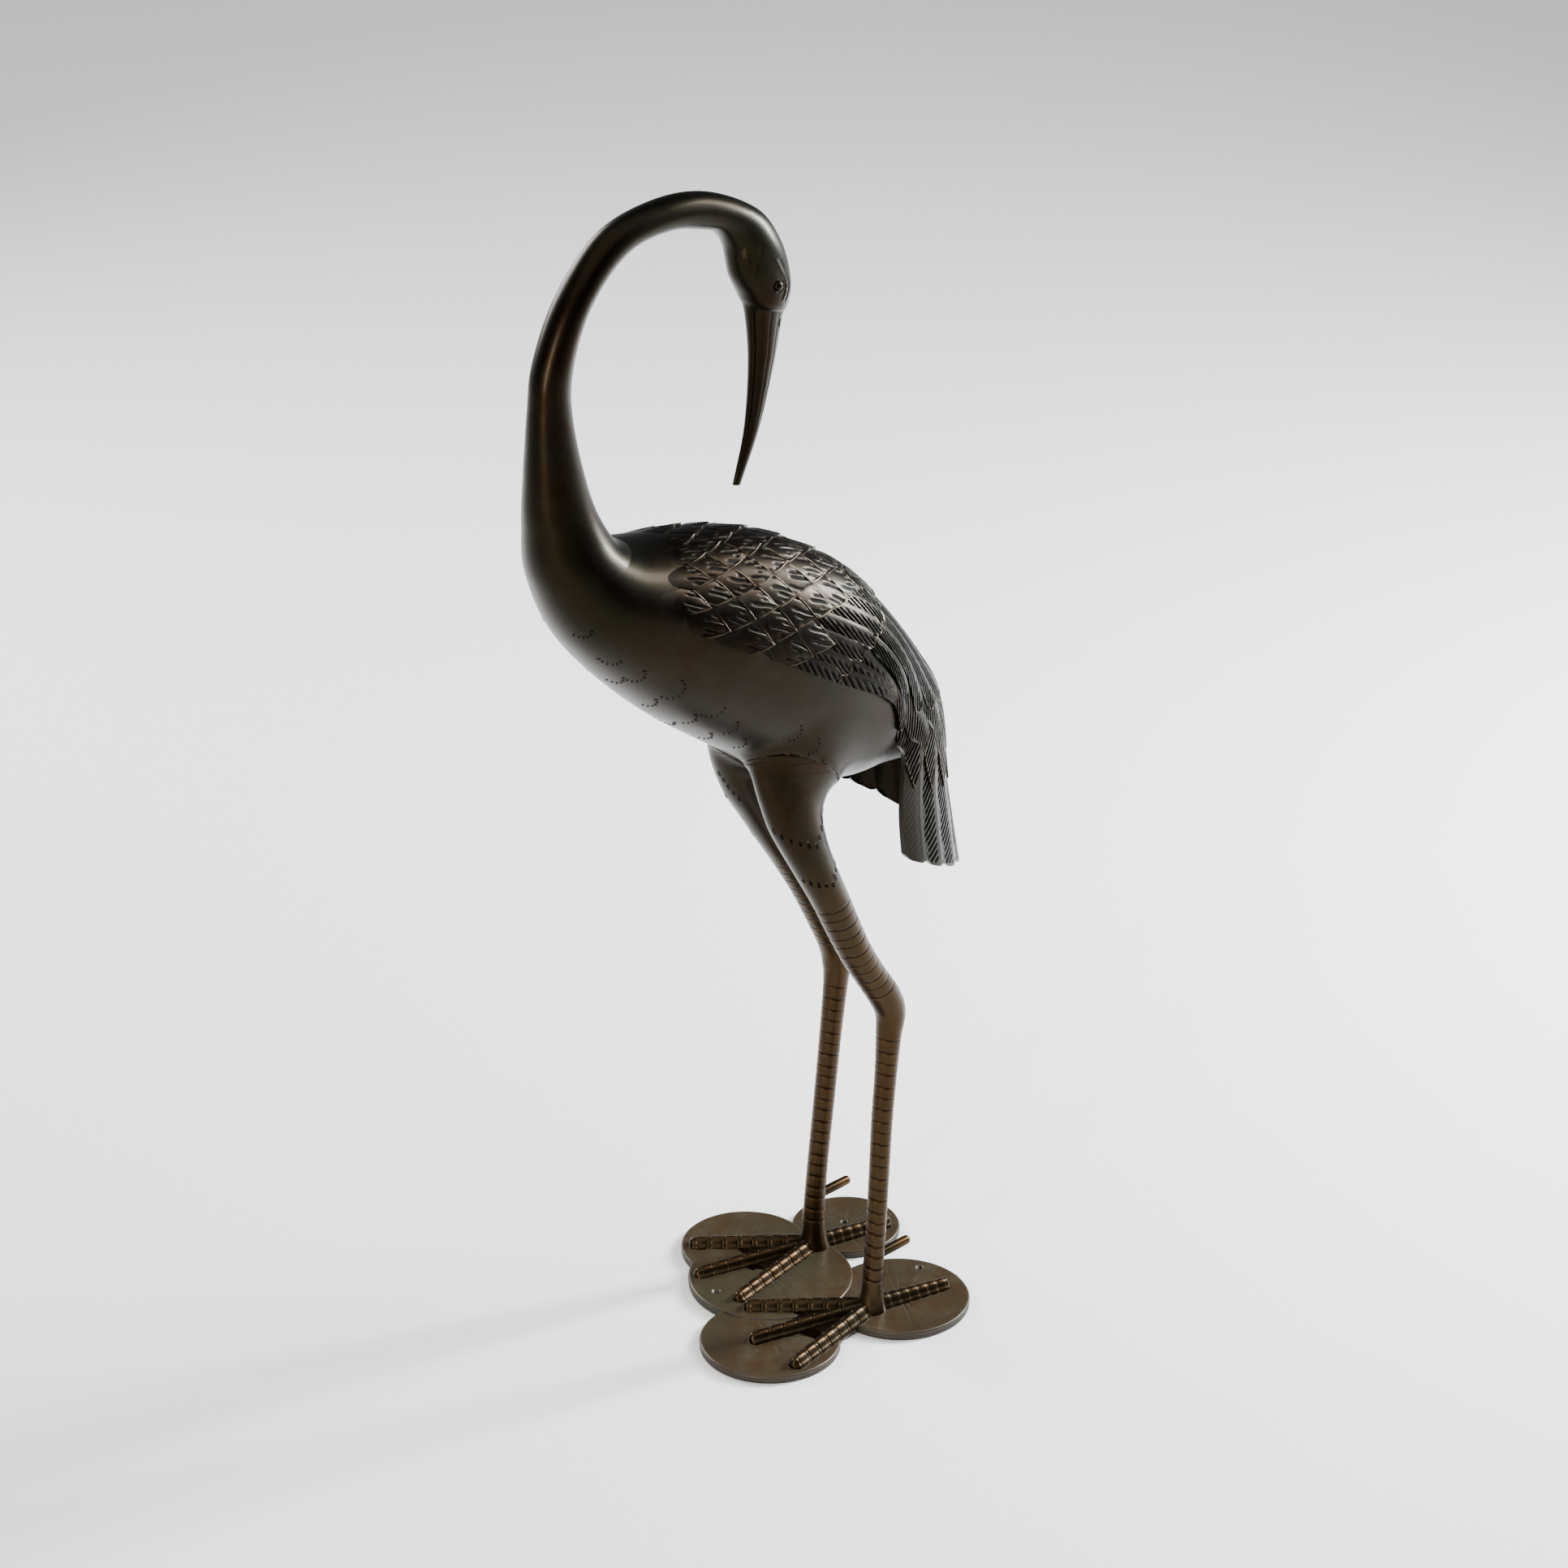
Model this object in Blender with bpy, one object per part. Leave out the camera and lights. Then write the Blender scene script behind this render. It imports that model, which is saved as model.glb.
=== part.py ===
"""A crane garden statue, cast in one piece: a preening crane standing on five lily pads.

The bird faces -X, its left side is -Y and it stands on the floor plane z = 0.
Body, neck, head and bill are one skin lofted between the line of the back and the line
of the breast. The plumage is a second skin that lies on the back and runs on as the
hollow tail. Legs and toes are swept tubes, and the lily pads are rounded discs.
"""

import bmesh
import bpy
import numpy as np

# Driving dimensions, in metres
HEIGHT = 0.978
PAD_THICKNESS = 0.008
PAD_EDGE = 0.0022
PAD_STEP = 0.0005
SCREW_HOLE = 0.0050
SKIN_STEP = 0.0016
TAIL_WALL = 0.0042
SCALE_RISE = 0.0018
FLUTE_DEPTH = 0.0012
RING_PITCH = 0.0102
RING_DEPTH = 0.0007
TOE_HALF_WIDTH = 0.0048
TOE_HEIGHT = 0.0072
SPUR_RADIUS = 0.0032
EYE_RADIUS = 0.0046
TIP_LEDGE = 0.0009
TABLE_PAD_THICKNESS = 0.008
HOLLOW_REACH = 0.060
HOLLOW_LAP = 0.0015
SECTION_LENGTH = 0.07

# Places along the plumage, as section numbers
TAIL_FROM = 5.0
TAIL_TO = 8.0
HOLLOW_SECTIONS = (5.25, 5.8, 6.3, 6.9, 7.4, 8.0, 8.6)
INNER_FLUTES_FROM = 6.0
INNER_FLUTES_OVER = 1.5

# Places along the body, as row numbers: where the skin dives under the plumage
SUNK_FROM = 17.5
SUNK_OVER = 0.3

# The figure is drawn on this height, in millimetres, and scaled to HEIGHT
DRAWN_HEIGHT = 978.0
DRAWN = HEIGHT / DRAWN_HEIGHT

# Bill tip to rump: back line x and z, breast line x and z, half width
BODY = (
    (-19.0, 740.0, -12.0, 739.0, 2.2),
    (-7.0, 782.5, 6.5, 783.0, 5.2),
    (-2.5, 834.0, 20.0, 831.0, 8.2),
    (-5.3, 873.0, 26.3, 862.5, 11.5),
    (-9.5, 886.0, 29.5, 877.0, 16.8),
    (-18.5, 904.0, 33.0, 895.0, 19.2),
    (-24.5, 928.5, 23.5, 926.0, 18.7),
    (-35.0, 942.0, 2.5, 953.5, 15.6),
    (-49.5, 947.5, -44.0, 975.0, 13.8),
    (-81.0, 953.0, -91.5, 977.5, 13.8),
    (-119.5, 945.0, -139.2, 963.6, 14.0),
    (-153.0, 914.0, -177.0, 924.5, 14.8),
    (-170.5, 871.0, -199.5, 878.0, 15.5),
    (-171.5, 831.0, -205.5, 841.0, 16.8),
    (-158.5, 771.0, -209.5, 786.0, 24.0),
    (-141.5, 736.0, -210.0, 754.0, 31.0),
    (-127.5, 725.0, -205.0, 710.5, 40.5),
    (-110.5, 722.0, -177.0, 652.0, 53.0),
    (-54.0, 713.5, -119.0, 590.0, 63.5),
    (2.0, 697.0, -54.0, 540.0, 68.0),
    (62.0, 664.5, 9.5, 499.0, 67.5),
    (105.5, 624.5, 67.0, 474.0, 61.0),
    (135.0, 583.0, 109.0, 473.0, 53.0),
    (160.0, 539.0, 139.0, 472.0, 42.0),
    (171.0, 508.0, 160.0, 479.5, 28.0),
    (175.0, 491.0, 173.0, 483.5, 5.0),
)
CREASE = 16
BODY_SIDES = 16
BODY_STATIONS = (
    (0.0, 3.0, 5),
    (3.3, 8.0, 14),
    (8.6, 14.0, 11),
    (14.5, 17.5, 9),
    (17.8, 23.0, 11),
    (23.4, 25.0, 4),
)

# Shoulder to tail hem: edge x and z, ridge x and z, half width
PLUMAGE = (
    (-143.0, 687.0, -111.0, 721.5, 53.5),
    (-86.0, 651.5, -54.0, 713.0, 63.5),
    (-26.0, 618.5, 2.0, 697.0, 68.0),
    (36.0, 582.5, 62.0, 664.5, 67.0),
    (88.0, 550.5, 106.8, 625.3, 61.5),
    (101.0, 510.5, 155.7, 560.5, 55.2),
    (110.0, 492.0, 178.0, 514.5, 52.2),
    (110.5, 444.0, 190.3, 433.0, 49.4),
    (114.0, 403.5, 205.0, 354.5, 49.5),
)
HEM_LIFT = 40.0
HEM_BEND = 1.35
LANES = 9
COLUMNS_PER_LANE = 4

# Rows of feathers: kind, where its tips lie along the plumage, depth of the tip, its shift
FEATHER_ROWS = (
    ("scale", 1.12, 0.17, 0.0),
    ("scale", 1.66, 0.17, 0.5),
    ("scale", 2.14, 0.15, 0.0),
    ("scale", 2.60, 0.15, 0.5),
    ("scale", 3.06, 0.15, 0.0),
    ("scale", 3.52, 0.17, 0.5),
    ("quill", 4.45, 0.14, 0.0),
    ("quill", 5.55, 0.22, 0.5),
    ("leaf", 6.62, 0.42, 0.5),
    ("tail", 8.00, 0.10, 0.0),
)
PLUMAGE_START = 0.62
START_SINK = 0.3
RIDGE_SHARE = 0.35
SCALE_CROWN = 0.5
TAIL_RISE = 0.6

# Legs from hip to ankle: x, y, z, then half depth front to back and half width
NEAR_LEG = (
    (8.0, -19.0, 552.0, 33.0, 22.0),
    (9.0, -24.0, 530.0, 33.0, 22.5),
    (9.0, -29.0, 510.0, 32.0, 20.5),
    (9.0, -33.0, 490.0, 28.5, 19.5),
    (11.0, -36.0, 468.0, 23.8, 18.5),
    (18.0, -38.5, 444.5, 19.4, 17.3),
    (29.0, -41.0, 417.5, 16.4, 16.0),
    (41.5, -43.0, 390.5, 15.0, 14.8),
    (54.0, -44.0, 362.5, 14.2, 14.0),
    (67.3, -45.5, 334.0, 13.4, 13.2),
    (82.0, -46.5, 309.0, 12.9, 12.6),
    (96.0, -48.0, 286.0, 13.2, 12.8),
    (101.5, -48.5, 270.0, 12.6, 12.0),
    (99.5, -49.0, 250.0, 10.6, 10.4),
    (96.0, -50.0, 217.5, 9.2, 9.2),
    (91.0, -51.5, 175.0, 8.8, 8.8),
    (87.5, -53.0, 134.5, 8.5, 8.5),
    (84.0, -54.5, 94.0, 8.3, 8.3),
    (80.5, -56.0, 60.0, 8.3, 8.3),
    (77.0, -57.0, 28.0, 9.1, 9.1),
    (76.0, -57.5, 14.0, 11.5, 11.5),
    (75.5, -57.5, 5.0, 14.0, 14.0),
)
FAR_LEG = (
    (8.0, 19.0, 552.0, 32.0, 22.0),
    (8.5, 24.0, 532.0, 31.0, 22.0),
    (9.5, 29.0, 514.0, 28.0, 20.0),
    (13.0, 33.0, 495.0, 24.0, 19.0),
    (21.5, 36.5, 470.0, 20.0, 18.0),
    (35.0, 39.0, 445.0, 17.0, 16.5),
    (52.5, 41.0, 415.0, 14.8, 14.8),
    (72.0, 42.5, 384.0, 13.7, 13.7),
    (91.0, 44.0, 351.5, 12.9, 12.9),
    (108.5, 45.5, 318.0, 12.6, 12.6),
    (123.0, 46.5, 289.0, 13.2, 12.8),
    (127.0, 47.0, 269.5, 12.4, 12.0),
    (126.0, 47.0, 251.0, 10.5, 10.4),
    (121.6, 47.0, 213.0, 9.4, 9.4),
    (117.0, 47.5, 167.5, 9.0, 9.0),
    (112.0, 47.5, 124.0, 8.8, 8.8),
    (108.0, 47.5, 90.0, 8.7, 8.7),
    (105.0, 48.0, 54.0, 8.9, 8.9),
    (104.2, 48.0, 26.5, 10.2, 10.2),
    (104.0, 48.0, 14.0, 12.0, 12.0),
    (104.0, 48.0, 5.0, 14.5, 14.5),
)
LEG_SIDES = 7
RINGS_FROM = 392.0
KNEE_BARE = (252.0, 296.0)
ANKLE_BARE = 26.0
LEG_FROM_KNEE = 300.0
BARE_STEP_LOW = 0.8
BARE_STEP_HIGH = 1.7
GROOVE_SHARE = 0.28

# Each toe: length and angle from the middle toe
FRONT_TOES = ((105.0, 27.0), (112.0, 0.0), (111.0, -27.0))
BACK_TOE = (74.0, 178.0)
FOOT_TURN = 13.0
KNUCKLES = 5
KNUCKLES_FROM = 0.16
KNUCKLES_TO = 0.94
TOE_ROOT = 1.15
TOE_TAPER = 0.35
KNUCKLE_SWELL = 0.10
TOE_TIP = 0.35
TOE_SIDES = 6
TOE_SUNK = 0.35
SPUR_LENGTH = 38.0
SPUR_HEIGHT = 54.0
SPUR_RISE = 0.07
SPUR_SIDES = 8
SPUR_SHAPE = ((0.0, 1.0), (0.5, 1.1), (0.93, 1.0), (1.0, 0.6))

# Lily pads: centre x and y, radius, levels above the lowest
PADS = (
    (-17.0, -39.5, 57.5, 0),
    (106.0, -58.0, 58.3, 1),
    (45.0, 34.0, 68.5, 2),
    (60.5, 86.0, 53.5, 1),
    (147.0, 56.5, 45.5, 0),
)
PAD_SIDES = 30
HOLE_SIDES = 12
SCREW_HOLES = ((-6.0, 43.0), (148.0, -36.0), (148.0, 60.0))

# Eyes: row number on the head, and angle from the back line
EYE_STATION = 4.72
EYE_ANGLE = 99.0
EYE_SUNK = 0.93
EYE_SIDES = 8
EYE_RINGS = 5
EYE_CAP = 0.25

UP = np.array([0.0, 0.0, 1.0])
BRONZE = (0.052, 0.041, 0.031, 1.0)


def smooth(table, at):
    """Catmull-Rom curve through the rows of table, read at the given row numbers."""
    rows = np.asarray(table, float)
    first = 2 * rows[0] - rows[1]
    last = 2 * rows[-1] - rows[-2]
    padded = np.vstack([first, rows, last])
    at = np.clip(np.asarray(at, float), 0, len(rows) - 1)
    cell = np.minimum(at.astype(int), len(rows) - 2)
    t = (at - cell)[:, None]
    p0, p1, p2, p3 = (padded[cell + k] for k in range(4))
    return 0.5 * (
        2 * p1
        + (p2 - p0) * t
        + (2 * p0 - 5 * p1 + 4 * p2 - p3) * t**2
        + (3 * p1 - p0 - 3 * p2 + p3) * t**3
    )


def body_rows(at):
    """Rows of BODY, with the sharp crease where the neck meets the back kept sharp."""
    at = np.asarray(at, float)
    rows = smooth(BODY, at)
    neck = smooth(BODY[: CREASE + 1], np.minimum(at, CREASE))
    back = smooth(BODY[CREASE:], np.maximum(at - CREASE, 0))
    rows[:, :2] = np.where((at <= CREASE)[:, None], neck[:, :2], back[:, :2])
    return rows * DRAWN


def body_points(at, angles, inset=0.0):
    """Grid of points on the body skin. Angle 0 is the back line and 90 the left side."""
    rows = body_rows(at)[:, None, :]
    c = np.cos(angles)[None, :]
    s = np.sin(angles)[None, :]
    middle_x = (rows[..., 0] + rows[..., 2]) / 2
    middle_z = (rows[..., 1] + rows[..., 3]) / 2
    reach_x = (rows[..., 0] - rows[..., 2]) / 2
    reach_z = (rows[..., 1] - rows[..., 3]) / 2
    depth = np.hypot(reach_x, reach_z)
    share = 1 - inset / np.maximum(depth, 1e-6)
    x = middle_x + reach_x * share * c
    z = middle_z + reach_z * share * c
    y = -(rows[..., 4] - inset) * s
    return np.stack([x, y, z], axis=-1)


def closed_mesh(name, grid):
    """Tube through rows of points, each row a ring, with a fan at each end."""
    count, sides = grid.shape[:2]
    points = list(map(tuple, grid.reshape(-1, 3)))
    points.append(tuple(grid[0].mean(axis=0)))
    points.append(tuple(grid[-1].mean(axis=0)))
    start, end = len(points) - 2, len(points) - 1
    faces = []
    for i in range(count - 1):
        for j in range(sides):
            k = (j + 1) % sides
            a, b = i * sides + j, i * sides + k
            c, d = a + sides, b + sides
            faces += [(a, b, d), (a, d, c)]
    last = (count - 1) * sides
    for j in range(sides):
        k = (j + 1) % sides
        faces.append((start, k, j))
        faces.append((end, last + j, last + k))
    return solid(name, points, faces)


def solid(name, points, faces):
    """Object from points and faces, with its normals turned outwards."""
    mesh = bpy.data.meshes.new(name)
    mesh.from_pydata(points, [], faces)
    work = bmesh.new()
    work.from_mesh(mesh)
    bmesh.ops.recalc_face_normals(work, faces=work.faces)
    if work.calc_volume(signed=True) < 0:
        bmesh.ops.reverse_faces(work, faces=work.faces)
    work.to_mesh(mesh)
    work.free()
    return bpy.data.objects.new(name, mesh)


def body_skin():
    """Bill, head, neck and body, held just under the plumage on the back."""
    stations = np.concatenate([np.linspace(*run) for run in BODY_STATIONS])
    angles = np.linspace(0, 2 * np.pi, BODY_SIDES, endpoint=False)
    grid = body_points(stations, angles)
    sunk = body_points(stations, angles, SKIN_STEP)
    under = np.clip((stations - SUNK_FROM) / SUNK_OVER, 0, 1)[:, None, None]
    above = np.clip(0.5 + 2 * np.cos(angles), 0, 1)[None, :, None]
    return closed_mesh("crane", grid + (sunk - grid) * under * above)


def plumage_sections(at):
    return smooth(PLUMAGE, at) * DRAWN


def arc_angles(section, lanes):
    """Angles across one section at which the arc length has the given shares, -1 to 1."""
    edge_x, edge_z, ridge_x, ridge_z, half = section
    depth = np.hypot(ridge_x - edge_x, ridge_z - edge_z)
    fine = np.linspace(-np.pi / 2, np.pi / 2, 181)
    step = np.hypot(half * np.cos(fine), depth * np.sin(fine))
    length = np.concatenate([[0], np.cumsum((step[1:] + step[:-1]) / 2)])
    share = 2 * length / length[-1] - 1
    return np.interp(lanes, share, fine)


def hem_rise(station, side):
    """How far the tail is drawn up on its right side. side runs from -1 on the left to 1."""
    share = max(0.0, (station - TAIL_FROM) / (TAIL_TO - TAIL_FROM))
    return HEM_LIFT * DRAWN * share * ((1 + side) / 2) ** HEM_BEND


def plumage_points(at, lanes, lift):
    """Points on the plumage at section numbers and lane shares, raised by lift."""
    shape = at.shape
    sections = plumage_sections(at.ravel())
    points = np.empty((at.size, 3))
    flat = zip(sections, lanes.ravel(), lift.ravel())
    for i, (section, lane, up) in enumerate(flat):
        angle = arc_angles(section, lane)
        edge_x, edge_z, ridge_x, ridge_z, half = section
        reach_x, reach_z = ridge_x - edge_x, ridge_z - edge_z
        depth = np.hypot(reach_x, reach_z)
        c, s = np.cos(angle), np.sin(angle)
        normal = np.array([c / depth, s / half])
        normal = normal / np.hypot(*normal)
        along = depth * c + up * normal[0]
        hem = hem_rise(at.ravel()[i], s)
        points[i, 0] = edge_x + reach_x / depth * along
        points[i, 1] = half * s + up * normal[1]
        points[i, 2] = edge_z + reach_z / depth * along + hem
    return points.reshape(shape + (3,))


def tip_curve(kind, across):
    """How far back a feather's edge lies from its tip, for -1 to 1 across the feather."""
    if kind == "leaf":
        return np.abs(across)
    return across**2


def plumage_skin():
    """The feathered skin of back and tail, as a solid whose open side lies in the body."""
    columns = LANES * COLUMNS_PER_LANE + 1
    lanes = np.linspace(-1, 1, columns)
    lane_place = (lanes + 1) / 2 * LANES
    rows_at = [np.full(columns, PLUMAGE_START)]
    rows_lift = [np.full(columns, -START_SINK * SKIN_STEP)]
    before = rows_at[0]
    for kind, tip, depth, shift in FEATHER_ROWS:
        per_lane = 2 if kind == "quill" else 1
        place = lane_place * per_lane + shift
        across = 2 * (place - np.floor(place)) - 1
        edge = np.abs(np.abs(across) - 1) < 1e-6
        line = tip - depth * tip_curve(kind, across)
        ridge = RIDGE_SHARE * FLUTE_DEPTH * (1 - across**2)
        crown = np.where(edge, -FLUTE_DEPTH, ridge)
        marks = (0.5, 1.0) if kind in ("scale", "quill") else (0.33, 0.67, 1.0)
        for mark in marks:
            rows_at.append(before + (line - before) * mark)
            rise = SCALE_RISE * mark * (TAIL_RISE if kind == "tail" else 1.0)
            rows_lift.append(rise + crown * (SCALE_CROWN if kind == "scale" else 1.0))
        before = line
        if kind != "tail":
            ledge = TIP_LEDGE / SECTION_LENGTH
            rows_at.append(line + ledge)
            rows_lift.append(np.full(columns, 0.0))
            before = line + ledge
    at = np.array(rows_at)
    lift = np.array(rows_lift)
    lift[:, [0, -1]] = 0.0
    across_all = np.broadcast_to(lanes, at.shape)
    grid = plumage_points(at, across_all, lift)
    return sheet_solid("plumage", grid)


def sheet_solid(name, grid):
    """Closed solid from an arched sheet: its two long edges are joined straight across."""
    count, columns = grid.shape[:2]
    points = list(map(tuple, grid.reshape(-1, 3)))
    faces = []
    for i in range(count - 1):
        for j in range(columns - 1):
            a = i * columns + j
            b, c = a + 1, a + columns
            faces += [(a, b, c + 1), (a, c + 1, c)]
    middles = []
    for i in range(count):
        points.append(tuple((grid[i, 0] + grid[i, -1]) / 2))
        middles.append(len(points) - 1)
    for i in range(count - 1):
        a, b = i * columns, (i + 1) * columns
        faces += [(a, middles[i], b), (b, middles[i], middles[i + 1])]
        a, b = a + columns - 1, b + columns - 1
        faces += [(a, b, middles[i]), (b, middles[i + 1], middles[i])]
    last = (count - 1) * columns
    for j in range(columns - 1):
        faces.append((middles[0], j, j + 1))
        faces.append((middles[-1], last + j + 1, last + j))
    return solid(name, points, faces)


def tail_hollow():
    """Cutter for the inside of the tail, fluted like the outside."""
    columns = LANES * 2 + 1
    lanes = np.linspace(-1, 1, columns)
    stations = np.array(HOLLOW_SECTIONS)
    sections = smooth(PLUMAGE, stations) * DRAWN
    grid = []
    run_on = sections[-2] - sections[-3]
    sections[-1] = sections[-2] + run_on
    for station, section in zip(stations, sections):
        edge_x, edge_z, ridge_x, ridge_z, half = section
        reach = np.array([ridge_x - edge_x, ridge_z - edge_z])
        depth = np.hypot(*reach)
        angle = arc_angles(section, lanes)
        onset = np.clip((station - INNER_FLUTES_FROM) / INNER_FLUTES_OVER, 0, 1)
        deep = FLUTE_DEPTH * onset
        wall = TAIL_WALL - np.where(np.arange(columns) % 2 == 0, deep, 0.0)
        wall[0] = wall[-1] = TAIL_WALL
        along = (depth - wall) * np.cos(angle)
        side = (half - wall) * np.sin(angle)
        hem = hem_rise(station, np.sin(angle))
        x = edge_x + reach[0] / depth * along
        z = edge_z + reach[1] / depth * along + hem
        row = np.stack([x, side, z], axis=-1)
        row[[0, -1], 0] -= HOLLOW_LAP
        front = np.array([HOLLOW_REACH, 0.0, 0.0])
        row = np.vstack([row[0] - front, row, row[-1] - front])
        grid.append(row)
    return closed_mesh("tail_hollow", np.array(grid))


def tube_frames(path):
    """Tangent and two square directions at each point of a path."""
    tangent = np.gradient(path, axis=0)
    tangent /= np.linalg.norm(tangent, axis=1)[:, None]
    side = np.cross(tangent, np.array([0.0, 1.0, 0.0]))
    side /= np.linalg.norm(side, axis=1)[:, None]
    other = np.cross(side, tangent)
    return tangent, side, other


def tube(name, path, depths, widths, sides):
    """Tube along a path, with its half depth and half width at each point."""
    tangent, side, other = tube_frames(path)
    angles = np.linspace(0, 2 * np.pi, sides, endpoint=False)
    c = np.cos(angles)[None, :, None]
    s = np.sin(angles)[None, :, None]
    deep = np.asarray(depths)[:, None, None]
    wide = np.asarray(widths)[:, None, None]
    grid = path[:, None] + deep * side[:, None] * c + wide * other[:, None] * s
    return closed_mesh(name, grid)


def leg(name, table):
    """Leg from inside the belly to inside the lily pad, with its ring grooves."""
    fine = smooth(table, np.linspace(0, len(table) - 1, 400)) * DRAWN
    raised = PAD_THICKNESS - TABLE_PAD_THICKNESS
    fine[:, 2] += np.interp(fine[:, 2], [0, SPUR_HEIGHT * DRAWN], [raised, 0])
    steps = np.linalg.norm(np.diff(fine[:, :3], axis=0), axis=1)
    length = np.concatenate([[0], np.cumsum(steps)])
    spots = []
    groove = []
    place = 0.0
    while place < length[-1]:
        height = np.interp(place, length, fine[:, 2]) / DRAWN
        bare = height > RINGS_FROM or height < ANKLE_BARE
        bare = bare or KNEE_BARE[0] < height < KNEE_BARE[1]
        if bare:
            spots.append(place)
            groove.append(0.0)
            below = height < LEG_FROM_KNEE
            place += (BARE_STEP_LOW if below else BARE_STEP_HIGH) * RING_PITCH
        else:
            spots += [place, place + GROOVE_SHARE * RING_PITCH]
            groove += [RING_DEPTH, 0.0]
            place += RING_PITCH
    spots.append(length[-1])
    groove.append(0.0)
    rows = np.stack([np.interp(spots, length, fine[:, k]) for k in range(5)], axis=-1)
    groove = np.array(groove)
    return tube(name, rows[:, :3], rows[:, 3] - groove, rows[:, 4] - groove, LEG_SIDES)


def foot_place(table):
    return np.array([table[-1][0], table[-1][1]]) * DRAWN


def toe(name, table, length, angle):
    """Knuckled toe lying on the pad, from under the ankle to a blunt tip."""
    turn = np.radians(angle + FOOT_TURN)
    ahead = np.array([-np.cos(turn), np.sin(turn), 0.0])
    root = np.append(foot_place(table), PAD_THICKNESS)
    joints = 2 * KNUCKLES + 1
    knuckled = np.linspace(KNUCKLES_FROM, KNUCKLES_TO, joints)
    marks = np.concatenate([[0.0], knuckled, [1.0]])
    thick = TOE_ROOT - TOE_TAPER * marks
    thick[1:-1] *= 1 + KNUCKLE_SWELL * np.cos(np.pi * np.arange(joints))
    thick[-1] = TOE_TIP
    path = root + ahead * (marks * length * DRAWN)[:, None]
    aside = np.cross(ahead, UP)
    angles = np.linspace(0, 2 * np.pi, TOE_SIDES, endpoint=False)
    grid = (
        path[:, None]
        + aside * (TOE_HALF_WIDTH * thick[:, None] * np.sin(angles))[..., None]
        + UP * (TOE_HEIGHT * thick[:, None] * np.cos(angles))[..., None]
    )
    low = PAD_THICKNESS * TOE_SUNK
    grid[..., 2] = np.maximum(grid[..., 2], low)
    return closed_mesh(name, grid)


def spur(name, table):
    """Small hind peg above the foot."""
    rows = np.array(table)[::-1]
    root = np.array([np.interp(SPUR_HEIGHT, rows[:, 2], rows[:, k]) for k in range(2)])
    start = np.append(root, SPUR_HEIGHT) * DRAWN
    marks, swell = np.array(SPUR_SHAPE).T
    path = start + np.array([1.0, 0.0, SPUR_RISE]) * (marks * SPUR_LENGTH * DRAWN)[:, None]
    radii = SPUR_RADIUS * swell
    return tube(name, path, radii, radii, SPUR_SIDES)


def pad(name, x, y, radius, level):
    """Lily pad: a thin disc with a rounded upper edge."""
    top = PAD_THICKNESS - PAD_STEP * (2 - level)
    angles = np.linspace(0, 2 * np.pi, PAD_SIDES, endpoint=False)
    rings = []
    profile = ((0.0, 0.0), (top - PAD_EDGE, 0.0), (top, -PAD_EDGE))
    for height, inset in profile:
        r = radius * DRAWN + inset
        rings.append(np.stack([
            x * DRAWN + r * np.cos(angles),
            y * DRAWN + r * np.sin(angles),
            np.full(PAD_SIDES, height),
        ], axis=-1))
    return closed_mesh(name, np.array(rings))


def screw_hole(name, x, y):
    angles = np.linspace(0, 2 * np.pi, HOLE_SIDES, endpoint=False)
    rings = []
    for height in (-PAD_THICKNESS, 2 * PAD_THICKNESS):
        rings.append(np.stack([
            x * DRAWN + SCREW_HOLE / 2 * np.cos(angles),
            y * DRAWN + SCREW_HOLE / 2 * np.sin(angles),
            np.full(HOLE_SIDES, height),
        ], axis=-1))
    return closed_mesh(name, np.array(rings))


def eye(name, side):
    """Small ball let into the side of the head."""
    angle = np.radians(EYE_ANGLE) * side
    spot = body_points(np.array([EYE_STATION]), np.array([angle]))[0, 0]
    spot = spot * np.array([1.0, EYE_SUNK, 1.0])
    angles = np.linspace(0, 2 * np.pi, EYE_SIDES, endpoint=False)
    rings = []
    for lean in np.linspace(EYE_CAP, np.pi - EYE_CAP, EYE_RINGS):
        rings.append(np.stack([
            spot[0] + EYE_RADIUS * np.sin(lean) * np.cos(angles),
            spot[1] + EYE_RADIUS * np.cos(lean) * np.ones(EYE_SIDES),
            spot[2] + EYE_RADIUS * np.sin(lean) * np.sin(angles),
        ], axis=-1))
    return closed_mesh(name, np.array(rings))


def bronze_material():
    material = bpy.data.materials.new("bronze_patina")
    material.use_nodes = True
    shader = material.node_tree.nodes["Principled BSDF"]
    shader.inputs["Base Color"].default_value = BRONZE
    shader.inputs["Roughness"].default_value = 0.42
    shader.inputs["Metallic"].default_value = 0.55
    return material


def helper_collection(parent, name, objects):
    """Collection of helper shapes that only feed a Boolean."""
    collection = bpy.data.collections.new(name)
    parent.children.link(collection)
    collection.hide_render = True
    for obj in objects:
        collection.objects.link(obj)
        obj.hide_render = True
        obj.display_type = "WIRE"
    return collection


def boolean(obj, name, operation, collection):
    modifier = obj.modifiers.new(name, "BOOLEAN")
    modifier.operation = operation
    modifier.solver = "EXACT"
    modifier.operand_type = "COLLECTION"
    modifier.collection = collection
    return modifier


def centred(objects):
    """Moves every shape so that the statue's box is centred over the origin."""
    boxes = []
    for obj in objects:
        points = np.array([vertex.co[:] for vertex in obj.data.vertices])
        boxes += [points.min(axis=0), points.max(axis=0)]
    boxes = np.array(boxes)
    shift = -(boxes.min(axis=0) + boxes.max(axis=0)) / 2
    shift[2] = 0.0
    return shift


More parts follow.
